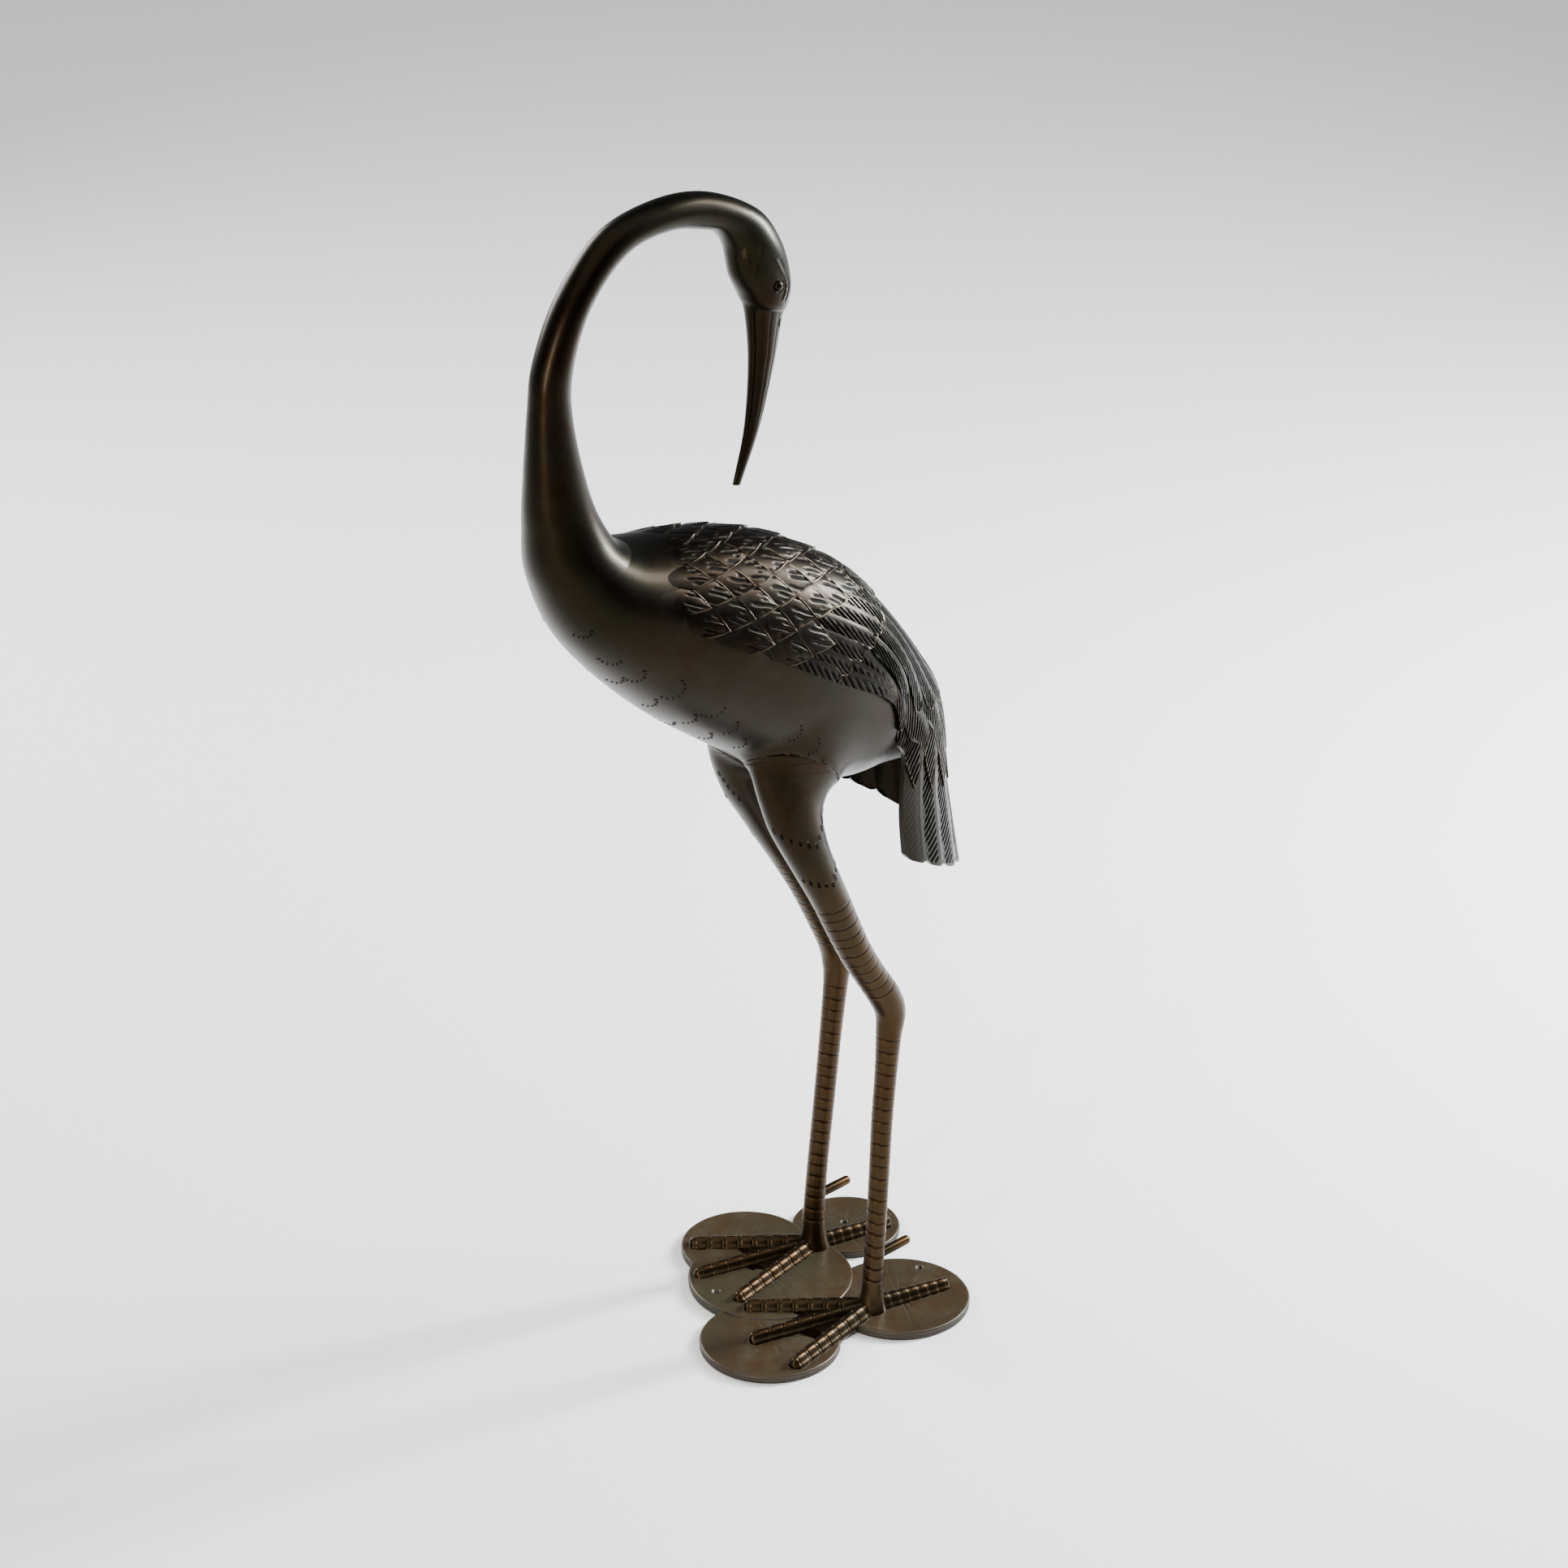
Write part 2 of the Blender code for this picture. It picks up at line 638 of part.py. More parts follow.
def main():
    for obj in list(bpy.data.objects):
        bpy.data.objects.remove(obj, do_unlink=True)
    home = bpy.data.collections.new("crane_garden_statue")
    bpy.context.scene.collection.children.link(home)

    crane = body_skin()
    home.objects.link(crane)
    crane.data.materials.append(bronze_material())

    hollow = tail_hollow()
    plumage = plumage_skin()
    castings = [plumage]
    for name, table in (("near", NEAR_LEG), ("far", FAR_LEG)):
        castings.append(leg(name + "_leg", table))
        castings.append(spur(name + "_spur", table))
        for i, (length, angle) in enumerate((*FRONT_TOES, BACK_TOE)):
            castings.append(toe(f"{name}_toe_{i + 1}", table, length, angle))
    for i, (x, y, radius, level) in enumerate(PADS):
        castings.append(pad(f"lily_pad_{i + 1}", x, y, radius, level))
    castings += [eye("left_eye", 1), eye("right_eye", -1)]
    holes = []
    for i, (x, y) in enumerate(SCREW_HOLES):
        holes.append(screw_hole(f"screw_hole_{i + 1}", x, y))

    helpers = helper_collection(home, "crane_cutters", [])
    hollows = helper_collection(helpers, "hollows", [hollow])
    joined = helper_collection(helpers, "castings", castings)
    drilled = helper_collection(helpers, "holes", holes)
    boolean(plumage, "Hollow the tail", "DIFFERENCE", hollows)
    boolean(crane, "Cast as one", "UNION", joined)
    boolean(crane, "Screw holes", "DIFFERENCE", drilled)

    shift = centred([crane, plumage, *castings])
    for obj in [crane, hollow, *castings, *holes]:
        for vertex in obj.data.vertices:
            vertex.co = np.array(vertex.co[:]) + shift
        obj.data.update()


main()
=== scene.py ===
"""The looks of a crane garden statue: a preening crane cast in one piece, with a dark
bronze patina rubbed to copper on its edges, standing on five joined lily pads.

The bird faces -X and its left side is -Y. Every surface is a grid of points worked out
from two parameters, in drawn millimetres, and then placed in the frame in metres.
"""

import math
from functools import partial

import bmesh
import bpy
import numpy as np
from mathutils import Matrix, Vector


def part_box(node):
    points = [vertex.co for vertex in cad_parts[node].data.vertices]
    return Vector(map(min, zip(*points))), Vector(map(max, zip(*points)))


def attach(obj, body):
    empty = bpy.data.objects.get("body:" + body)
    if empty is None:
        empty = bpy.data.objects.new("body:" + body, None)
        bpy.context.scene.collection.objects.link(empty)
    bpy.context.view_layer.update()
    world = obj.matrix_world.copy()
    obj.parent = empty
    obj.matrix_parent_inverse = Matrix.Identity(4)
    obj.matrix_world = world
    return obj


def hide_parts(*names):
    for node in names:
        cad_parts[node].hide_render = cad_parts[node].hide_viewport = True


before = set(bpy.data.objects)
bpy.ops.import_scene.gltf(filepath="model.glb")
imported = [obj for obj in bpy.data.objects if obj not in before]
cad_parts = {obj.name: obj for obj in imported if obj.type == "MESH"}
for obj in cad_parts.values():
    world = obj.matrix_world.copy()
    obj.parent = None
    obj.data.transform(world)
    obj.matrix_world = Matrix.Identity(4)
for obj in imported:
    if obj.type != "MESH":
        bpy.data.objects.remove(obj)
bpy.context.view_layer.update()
cad_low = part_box("crane")[0]

# The figure is drawn on this height, in millimetres
HEIGHT = 0.978
DRAWN_HEIGHT = 978.0
DRAWN = HEIGHT / DRAWN_HEIGHT

# The camera, from the outline of the photograph
IMAGE_SIZE = 1932
FOCAL_PIXELS = 5684.0
SENSOR = 36.0
CAMERA_PLACE = (-2.0533, -2.4907, 2.0331)
CAMERA_AZIMUTH = 40.08
CAMERA_PITCH = 25.66
CAMERA_REACH = 100

# Bill tip to rump: back line x and z, breast line x and z, half width
BODY = (
    (-19, 740, -12, 739, 2.2),
    (-7, 782.5, 6.5, 783, 5.2),
    (-2.5, 834, 20, 831, 8.2),
    (-5.3, 873, 26.3, 862.5, 11.5),
    (-9.5, 886, 29.5, 877, 16.8),
    (-18.5, 904, 33, 895, 19.2),
    (-24.5, 928.5, 23.5, 926, 18.7),
    (-35, 942, 2.5, 953.5, 15.6),
    (-49.5, 947.5, -44, 975, 13.8),
    (-81, 953, -91.5, 977.5, 13.8),
    (-119.5, 945, -139.2, 963.6, 14),
    (-153, 914, -177, 924.5, 14.8),
    (-170.5, 871, -199.5, 878, 15.5),
    (-171.5, 831, -205.5, 841, 16.8),
    (-158.5, 771, -209.5, 786, 24),
    (-141.5, 736, -210, 754, 31),
    (-127.5, 725, -205, 710.5, 40.5),
    (-110.5, 722, -177, 652, 53),
    (-54, 713.5, -119, 590, 63.5),
    (2, 697, -54, 540, 68),
    (62, 664.5, 9.5, 499, 67.5),
    (105.5, 624.5, 67, 474, 61),
    (135, 583, 109, 473, 53),
    (160, 539, 139, 472, 42),
    (171, 508, 160, 479.5, 20),
    (175, 491, 173, 483.5, 5),
)
CREASE = 16
SKIN_STEP = 1.6
SUNK_FROM = 17.5

# Shoulder to tail hem: edge x and z, ridge x and z, half width
PLUMAGE = (
    (-143, 687, -111, 721.5, 53.5),
    (-86, 651.5, -54, 713, 63.5),
    (-26, 618.5, 2, 697, 68),
    (36, 582.5, 62, 664.5, 67),
    (88, 550.5, 106.8, 625.3, 61.5),
    (101, 510.5, 155.7, 560.5, 55.2),
    (110, 492, 178, 514.5, 52.2),
    (110.5, 444, 190.3, 433, 49.4),
    (114, 403.5, 205, 354.5, 49.5),
)
HEM_LIFT = 40.0
HEM_BEND = 1.35
TAIL_FROM = 5.0
TAIL_TO = 8.0
LANES = 9
TAIL_WALL = 4.2
TAIL_ROOT = 5.2
TAIL_WIDTH = 1.015
TAIL_PITCH = 5.6
TAIL_LEAN = 0.95
TAIL_LIFT = (-0.6, 0.6)
TAIL_ROW = 0.84
TAIL_COLUMNS = 22
# Lane share from which the outermost tail feathers are nearly plain
PLAIN_FROM = 0.8

# Scale feathers lie in a diamond net; their last row runs further back along the ridge
FIRST_SCALE_TIP = 0.78
SCALE_PITCH = 0.32
SCALE_ROWS = 10
SCALES_END = 2.45
SCALES_END_RISE = 1.45
SCALE_RISE = 1.9
SCALE_WIDTH = 1.03
SCALE_SHOWING = 0.40
UNDER_SIDE = 2.4
# Plain layer under the feathers: sections, depth and size of its inner side
DOWN_SECTIONS = (0.7, 5.4)
DOWN_SUNK = 0.9
DOWN_INNER = 0.90
SCALE_GRID = (30, 27)
STROKES = 5.8
QUILLS = 18
QUILL_SPREAD = 1.36

# Legs from hip to ankle: x, y, z, then half depth front to back and half width
NEAR_LEG = (
    (8, -19, 552, 33, 22),
    (9, -24, 530, 33, 22.5),
    (9, -29, 510, 32, 20.5),
    (9, -33, 490, 28.5, 19.5),
    (11, -36, 468, 23.8, 18.5),
    (18, -38.5, 444.5, 19.4, 17.3),
    (29, -41, 417.5, 16.4, 16),
    (41.5, -43, 390.5, 15, 14.8),
    (54, -44, 362.5, 14.2, 14),
    (67.3, -45.5, 334, 13.4, 13.2),
    (82, -46.5, 309, 12.9, 12.6),
    (96, -48, 286, 13.2, 12.8),
    (101.5, -48.5, 270, 12.6, 12),
    (99.5, -49, 250, 10.6, 10.4),
    (96, -50, 217.5, 9.2, 9.2),
    (91, -51.5, 175, 8.8, 8.8),
    (87.5, -53, 134.5, 8.5, 8.5),
    (84, -54.5, 94, 8.3, 8.3),
    (80.5, -56, 60, 8.3, 8.3),
    (77, -57, 28, 9.1, 9.1),
    (76, -57.5, 14, 11.5, 11.5),
    (75.5, -57.5, 5, 14, 14),
)
FAR_LEG = (
    (8, 19, 552, 32, 22),
    (8.5, 24, 532, 31, 22),
    (9.5, 29, 514, 28, 20),
    (13, 33, 495, 24, 19),
    (21.5, 36.5, 470, 20, 18),
    (35, 39, 445, 17, 16.5),
    (52.5, 41, 415, 14.8, 14.8),
    (72, 42.5, 384, 13.7, 13.7),
    (91, 44, 351.5, 12.9, 12.9),
    (108.5, 45.5, 318, 12.6, 12.6),
    (123, 46.5, 289, 13.2, 12.8),
    (127, 47, 269.5, 12.4, 12),
    (126, 47, 251, 10.5, 10.4),
    (121.6, 47, 213, 9.4, 9.4),
    (117, 47.5, 167.5, 9, 9),
    (112, 47.5, 124, 8.8, 8.8),
    (108, 47.5, 90, 8.7, 8.7),
    (105, 48, 54, 8.9, 8.9),
    (104.2, 48, 26.5, 10.2, 10.2),
    (104, 48, 14, 12, 12),
    (104, 48, 5, 14.5, 14.5),
)
LEG_ROW = 0.86
LEG_COLUMNS = 36
RING_PITCH = 10.2
RING_DEPTH = 0.60
RING_FRONT = 235.0
RINGS_FROM = 392.0
HIP_FROM = 425.0
HIP_ROWS = 7
HIP_SPAN = 90
HIP_TOP = 570
HIP_PAST_MIDDLE = 17.24
BELLY_STATIONS = (17.5, 23)
BELLY_ANGLES = (80, 280)
HIP_FILLET = (14.0, 44.0)
KNEE_BARE = (256.0, 290.0)
ANKLE_BARE = 30.0

# Heights in metres between which the paler legs fade into the dark thighs
THIGH_FADE = (0.36, 0.46)

# Each toe: length and angle from the middle toe
FRONT_TOES = ((105.0, 27.0), (112.0, 0.0), (111.0, -27.0))
BACK_TOE = (74.0, 178.0)
FOOT_TURN = 13.0
KNUCKLES = 7
KNUCKLES_FROM = 0.12
KNUCKLES_SPAN = 0.84
TOE_ROW = 0.72
TOE_COLUMNS = 32
TOE_HALF_WIDTH = 5.4
TOE_HEIGHT = 7.6
TOE_ROOT = 1.16
TOE_TAPER = 0.34
TOE_SWELL = 0.05
TOE_SKIRT = 2.6
TOE_SKIRT_HEIGHT = 3.4
# Web: share of the toes that it reaches, depth of its scallops, height, dome and thickness
WEB_REACH = 0.66
WEB_SCALLOP = 17
WEB_HEIGHT = 2.2
WEB_DOME = 1.5
WEB_THICKNESS = 3.6
WEB_COLUMNS = 61
SPUR_LENGTH = 38.0
SPUR_HEIGHT = 54.0
SPUR_RISE = 0.07
SPUR_RADIUS = 3.7

# Lily pads: centre x and y, radius, levels above the lowest, turn of the veins
PADS = (
    (-17, -39.5, 57.5, 0, 12),
    (106, -58, 58.3, 1, 40),
    (45, 34, 68.5, 2, 75),
    (60.5, 86, 53.5, 1, 8),
    (147, 56.5, 45.5, 0, 55),
)
PAD_RINGS = 39
PAD_COLUMNS = 256
VEINS = 11
# Rings down a pad's edge: share of its radius, drop and how rubbed
PAD_EDGE = (
    (0.978, 0.0, 1.0), (0.992, 0.45, 1.0), (1.0, 1.3, 0.9), (1.0, 2.6, 0.5),
    (0.992, 3.2, 0.1), (0.988, 3.7, 0.0), (0.992, 4.2, 0.1), (0.996, 6.0, 0.2),
)
HOLE_DEPTH = 4.0
PAD_THICKNESS = 8.0
PAD_STEP = 0.5
SCREW_HOLES = ((-6.0, 43.0), (148.0, -36.0), (148.0, 60.0))
SCREW_HOLE = 5.0

# Eyes: station on the head, angle from the back line, ball, share of the head's half width
EYE_STATION = 4.84
EYE_ANGLE = 94.5
EYE_RADIUS = 4.2
EYE_SINK = 0.93

UP = np.array([0.0, 0.0, 1.0])


# Curves and skins

def smooth(table, at):
    """Catmull-Rom curve through the rows of table, read at the given row numbers."""
    rows = np.asarray(table, float)
    first = 2 * rows[0] - rows[1]
    last = 2 * rows[-1] - rows[-2]
    padded = np.vstack([first, rows, last])
    at = np.clip(np.asarray(at, float), 0, len(rows) - 1)
    cell = np.minimum(at.astype(int), len(rows) - 2)
    t = (at - cell)[..., None]
    p0, p1, p2, p3 = (padded[cell + k] for k in range(4))
    return 0.5 * (
        2 * p1
        + (p2 - p0) * t
        + (2 * p0 - 5 * p1 + 4 * p2 - p3) * t**2
        + (3 * p1 - p0 - 3 * p2 + p3) * t**3
    )


def body_rows(at):
    """Rows of BODY, with the sharp crease where the neck meets the back kept sharp."""
    at = np.asarray(at, float)
    rows = smooth(BODY, at)
    neck = smooth(BODY[: CREASE + 1], np.minimum(at, CREASE))
    back = smooth(BODY[CREASE:], np.maximum(at - CREASE, 0))
    rows[..., :2] = np.where((at <= CREASE)[..., None], neck[..., :2], back[..., :2])
    return rows


def body_points(at, angles, lift=0.0):
    """Points on the body skin, raised by lift. Angle 0 is the back line and 90 the left side.

    Each station is an ellipse: its middle lies halfway between back line and breast line,
    one half axis reaches from there to the back line and the other is the half width.
    """
    rows = body_rows(at)
    c, s = np.cos(angles), np.sin(angles)
    middle = (rows[..., 0:2] + rows[..., 2:4]) / 2
    reach = (rows[..., 0:2] - rows[..., 2:4]) / 2
    depth = np.maximum(np.hypot(reach[..., 0], reach[..., 1]), 1e-3)
    half = rows[..., 4]
    normal_c, normal_s = c / depth, s / half
    size = np.hypot(normal_c, normal_s)
    along = depth * c + lift * normal_c / size
    x = middle[..., 0] + reach[..., 0] / depth * along
    z = middle[..., 1] + reach[..., 1] / depth * along
    y = -(half * s + lift * normal_s / size)
    return np.stack(np.broadcast_arrays(x, y, z), axis=-1)


def arc_table():
    """Angles of the plumage's cross-section at even shares of its arc, section by section."""
    stations = np.linspace(0, len(PLUMAGE) - 1, 161)
    lanes = np.linspace(-1, 1, 121)
    fine = np.linspace(-np.pi / 2, np.pi / 2, 361)
    angles = np.empty((len(stations), len(lanes)))
    for i, (edge_x, edge_z, ridge_x, ridge_z, half) in enumerate(smooth(PLUMAGE, stations)):
        depth = math.hypot(ridge_x - edge_x, ridge_z - edge_z)
        pace = np.hypot(half * np.cos(fine), depth * np.sin(fine))
        length = np.concatenate([[0], np.cumsum((pace[1:] + pace[:-1]) / 2)])
        angles[i] = np.interp(lanes, 2 * length / length[-1] - 1, fine)
    return stations, lanes, angles


ARC_STATIONS, ARC_LANES, ARC_ANGLES = arc_table()


def arc_angle(at, lane):
    """Angle on the cross-section for a section number and a lane share from -1 to 1."""
    i = np.clip(at / ARC_STATIONS[-1], 0, 1) * (len(ARC_STATIONS) - 1)
    j = (np.clip(lane, -1, 1) + 1) / 2 * (len(ARC_LANES) - 1)
    i0 = np.minimum(i.astype(int), len(ARC_STATIONS) - 2)
    j0 = np.minimum(j.astype(int), len(ARC_LANES) - 2)
    a, b = i - i0, j - j0
    table = ARC_ANGLES
    upper = table[i0, j0] * (1 - b) + table[i0, j0 + 1] * b
    lower = table[i0 + 1, j0] * (1 - b) + table[i0 + 1, j0 + 1] * b
    return upper * (1 - a) + lower * a


def plumage_points(at, lane, lift):
    """Points on the plumage at section numbers and lane shares, raised by lift.

    A section is a half ellipse between its two edges over its ridge, and towards the hem
    the right side is drawn up.
    """
    at, lane, lift = np.broadcast_arrays(*(np.asarray(v, float) for v in (at, lane, lift)))
    section = smooth(PLUMAGE, at)
    edge, ridge, half = section[..., 0:2], section[..., 2:4], section[..., 4]
    reach = ridge - edge
    depth = np.hypot(reach[..., 0], reach[..., 1])
    angle = arc_angle(at, lane)
    c, s = np.cos(angle), np.sin(angle)
    normal_c, normal_s = c / depth, s / half
    size = np.hypot(normal_c, normal_s)
    along = (depth * c + lift * normal_c / size) / depth
    share = np.maximum(0, (at - TAIL_FROM) / (TAIL_TO - TAIL_FROM))
    hem = HEM_LIFT * share * ((1 + s) / 2) ** HEM_BEND
    x = edge[..., 0] + reach[..., 0] * along
    y = half * s + lift * normal_s / size
    z = edge[..., 1] + reach[..., 1] * along + hem
    return np.stack([x, y, z], axis=-1)


def centring():
    """Shift that sets the drawn figure into the CAD model's box, from its low corner."""
    angles = np.linspace(0, 2 * np.pi, 17)
    stations = np.linspace(12, 17, 201)
    breast = body_points(stations[:, None], angles[None, :])[..., 0].min()
    front_y, front_radius = PADS[1][1:3]
    return np.array([
        cad_low.x / DRAWN - breast,
        cad_low.y / DRAWN - (front_y - front_radius),
        0.0,
    ])


SHIFT = centring()


# Meshes

class Shape:
    """Points and faces gathered from grids, with how much wear and painted highlight and how much
    painted shade each point has.
    """

    def __init__(self):
        self.points = []
        self.faces = []
        self.wear_and_highlight = []
        self.painted_shade = []
        self.count = 0

    def add(self, points, faces, wear_and_highlight=0.0, painted_shade=0.0):
        points = np.asarray(points, float).reshape(-1, 3)
        self.points.append(points)
        self.wear_and_highlight.append(np.broadcast_to(np.ravel(wear_and_highlight), len(points)))
        self.painted_shade.append(np.broadcast_to(np.ravel(painted_shade), len(points)))
        for block in faces:
            self.faces.append(np.asarray(block, int) + self.count)
        self.count += len(points)

    def tube(self, grid, wear_and_highlight=0.0, painted_shade=0.0):
        """Closed tube from rings: rows along, columns round, a fan on each end."""
        rows, sides = grid.shape[:2]
        here = np.arange(rows * sides).reshape(rows, sides)
        beside = np.roll(here, -1, axis=1)
        walls = np.stack([here[:-1], beside[:-1], beside[1:], here[1:]], axis=-1)
        start, end = rows * sides, rows * sides + 1
        first = np.stack([np.full(sides, start), beside[0], here[0]], axis=-1)
        last = np.stack([np.full(sides, end), here[-1], beside[-1]], axis=-1)
        points = np.vstack([grid.reshape(-1, 3), grid[0].mean(axis=0), grid[-1].mean(axis=0)])
        wear_and_highlight = np.append(np.broadcast_to(wear_and_highlight, (rows, sides)).ravel(), [0, 0])
        painted_shade = np.append(np.broadcast_to(painted_shade, (rows, sides)).ravel(), [0, 0])
        self.add(points, [walls.reshape(-1, 4), first, last], wear_and_highlight, painted_shade)

    def shell(self, top, bottom, wear_and_highlight=0.0, painted_shade=0.0):
        """Closed shell from an upper and a lower grid, which may have fewer columns."""
        rows, columns = top.shape[:2]
        fewer = bottom.shape[1]
        here = np.arange(rows * columns).reshape(rows, columns)
        below = np.arange(rows * fewer).reshape(rows, fewer) + rows * columns
        up = np.stack([here[:-1, :-1], here[1:, :-1], here[1:, 1:], here[:-1, 1:]], axis=-1)
        down = np.stack([below[:-1, :-1], below[:-1, 1:], below[1:, 1:], below[1:, :-1]], axis=-1)
        sides = []
        for edge, low in ((here[:, 0], below[:, 0]), (here[:, -1], below[:, -1])):
            sides.append(np.stack([edge[:-1], low[:-1], low[1:], edge[1:]], axis=-1))
        ends = [np.concatenate([here[k], below[k, ::-1]])[None] for k in (0, -1)]
        points = np.vstack([top.reshape(-1, 3), bottom.reshape(-1, 3)])
        wear_and_highlight = np.append(np.broadcast_to(wear_and_highlight, (rows, columns)), np.zeros((rows, fewer)))
        painted_shade = np.append(np.broadcast_to(painted_shade, (rows, columns)), np.zeros((rows, fewer)))
        faces = [up.reshape(-1, 4), down.reshape(-1, 4), *sides, *ends]
        self.add(points, faces, wear_and_highlight, painted_shade)


def in_scene(name, data):
    """New object that holds the data, linked into the scene."""
    made = bpy.data.objects.new(name, data)
    bpy.context.scene.collection.objects.link(made)
    return made


def piece(name, shape, material, sharp=60.0):
    """Object from a shape, set in the frame, shaded smooth and turned outwards."""
    points = (np.vstack(shape.points) + SHIFT) * DRAWN
    corners = np.concatenate([block.ravel() for block in shape.faces])
    sizes = np.concatenate([np.full(len(block), block.shape[1]) for block in shape.faces])
    starts = np.concatenate([[0], np.cumsum(sizes)[:-1]])
    mesh = bpy.data.meshes.new(name)
    mesh.vertices.add(len(points))
    mesh.vertices.foreach_set("co", points.astype(np.float32).ravel())
    mesh.loops.add(len(corners))
    mesh.loops.foreach_set("vertex_index", corners.astype(np.int32))
    mesh.polygons.add(len(sizes))
    mesh.polygons.foreach_set("loop_start", starts.astype(np.int32))
    mesh.update(calc_edges=True)
    # The first attribute carries wear and painted highlight, the second painted shade
    for kind, values in (("wear_and_highlight", shape.wear_and_highlight), ("painted_shade", shape.painted_shade)):
        attribute = mesh.attributes.new(kind, "FLOAT", "POINT")
        attribute.data.foreach_set("value", np.concatenate(values).astype(np.float32))
    work = bmesh.new()
    work.from_mesh(mesh)
    bmesh.ops.recalc_face_normals(work, faces=work.faces)
    work.to_mesh(mesh)
    work.free()
    mesh.shade_smooth()
    mesh.set_sharp_from_angle(angle=math.radians(sharp))
    mesh.materials.append(material)
    made = in_scene(name, mesh)
    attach(made, "root")
    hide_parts("crane")
    return made


# Paint

class Wire:
    """One value in a material. Arithmetic on it adds Math nodes."""

    def __init__(self, paint, socket):
        self.paint = paint
        self.socket = socket

    def math(self, operation, *others):
        made = self.paint.node("ShaderNodeMath", {"operation": operation})
        for socket, value in zip(made.inputs, others):
            self.paint.feed(socket, value)
        return Wire(self.paint, made.outputs[0])

    def __add__(self, other):
        return self.math("ADD", self, other)

    def __sub__(self, other):
        return self.math("SUBTRACT", self, other)

    def __rsub__(self, other):
        return self.math("SUBTRACT", other, self)

    def __mul__(self, other):
        return self.math("MULTIPLY", self, other)

    __radd__ = __add__
    __rmul__ = __mul__

    def clear(self):
        made = self.math("ADD", self, 0.0)
        made.socket.node.use_clamp = True
        return made

    def between(self, low, high):
        """0 below low, 1 above high and smooth between."""
        made = self.paint.node(
            "ShaderNodeMapRange",
            {"interpolation_type": "SMOOTHSTEP"},
            {"Value": self, "From Min": low, "From Max": high},
        )
        return Wire(self.paint, made.outputs[0])


class Paint:
    """A material with its Principled shader, and short ways to add nodes to it."""

    def __init__(self, name):
        self.material = bpy.data.materials.new(name)
        self.material.use_nodes = True
        self.tree = self.material.node_tree
        self.shader = self.tree.nodes["Principled BSDF"]

    def feed(self, socket, value):
        if isinstance(value, Wire):
            self.tree.links.new(value.socket, socket)
        else:
            socket.default_value = value

    def node(self, kind, settings=None, values=None):
        made = self.tree.nodes.new(kind)
        for key, value in (settings or {}).items():
            setattr(made, key, value)
        for key, value in (values or {}).items():
            self.feed(made.inputs[key], value)
        return made

    def place(self):
        return Wire(self, self.node("ShaderNodeTexCoord").outputs["Object"])

    def height(self):
        made = self.node("ShaderNodeSeparateXYZ", None, {"Vector": self.place()})
        return Wire(self, made.outputs["Z"])

    def attribute(self, name):
        made = self.node("ShaderNodeAttribute", {"attribute_name": name})
        return Wire(self, made.outputs["Fac"])

    def noise(self, scale, detail, roughness=0.55):
        made = self.node("ShaderNodeTexNoise", None, {
            "Vector": self.place(),
            "Scale": scale,
            "Detail": detail,
            "Roughness": roughness,
        })
        return Wire(self, made.outputs["Fac"])

    def mix(self, share, first, second):
        made = self.node("ShaderNodeMix", {"data_type": "RGBA"})
        self.feed(made.inputs[0], share)
        self.feed(made.inputs[6], first)
        self.feed(made.inputs[7], second)
        return Wire(self, made.outputs[2])

    def bump(self, height, strength, distance):
        made = self.node("ShaderNodeBump", None, {
            "Height": height,
            "Strength": strength,
            "Distance": distance,
        })
        return Wire(self, made.outputs[0])

    def set(self, **values):
        for key, value in values.items():
            self.feed(self.shader.inputs[key.replace("_", " ").title()], value)


OLIVE = (0.0078, 0.0070, 0.0036, 1.0)
UMBER = (0.0104, 0.0046, 0.0018, 1.0)
VERDIGRIS = (0.0125, 0.0140, 0.0088, 1.0)
COPPER = (0.105, 0.050, 0.020, 1.0)
# Tan for rubbed feather edges, also painted as the highlight on the scale rims
TAN = (0.080, 0.058, 0.036, 1.0)
# Near black, painted as shade in grooves, nicks, hollows, holes and under overlaps
PAINTED_SHADE_BLACK = (0.0012, 0.0009, 0.0006, 1.0)


def toned(colour, tone):
    """The colour made tone times as light."""
    return (*(tone * value for value in colour[:3]), 1.0)


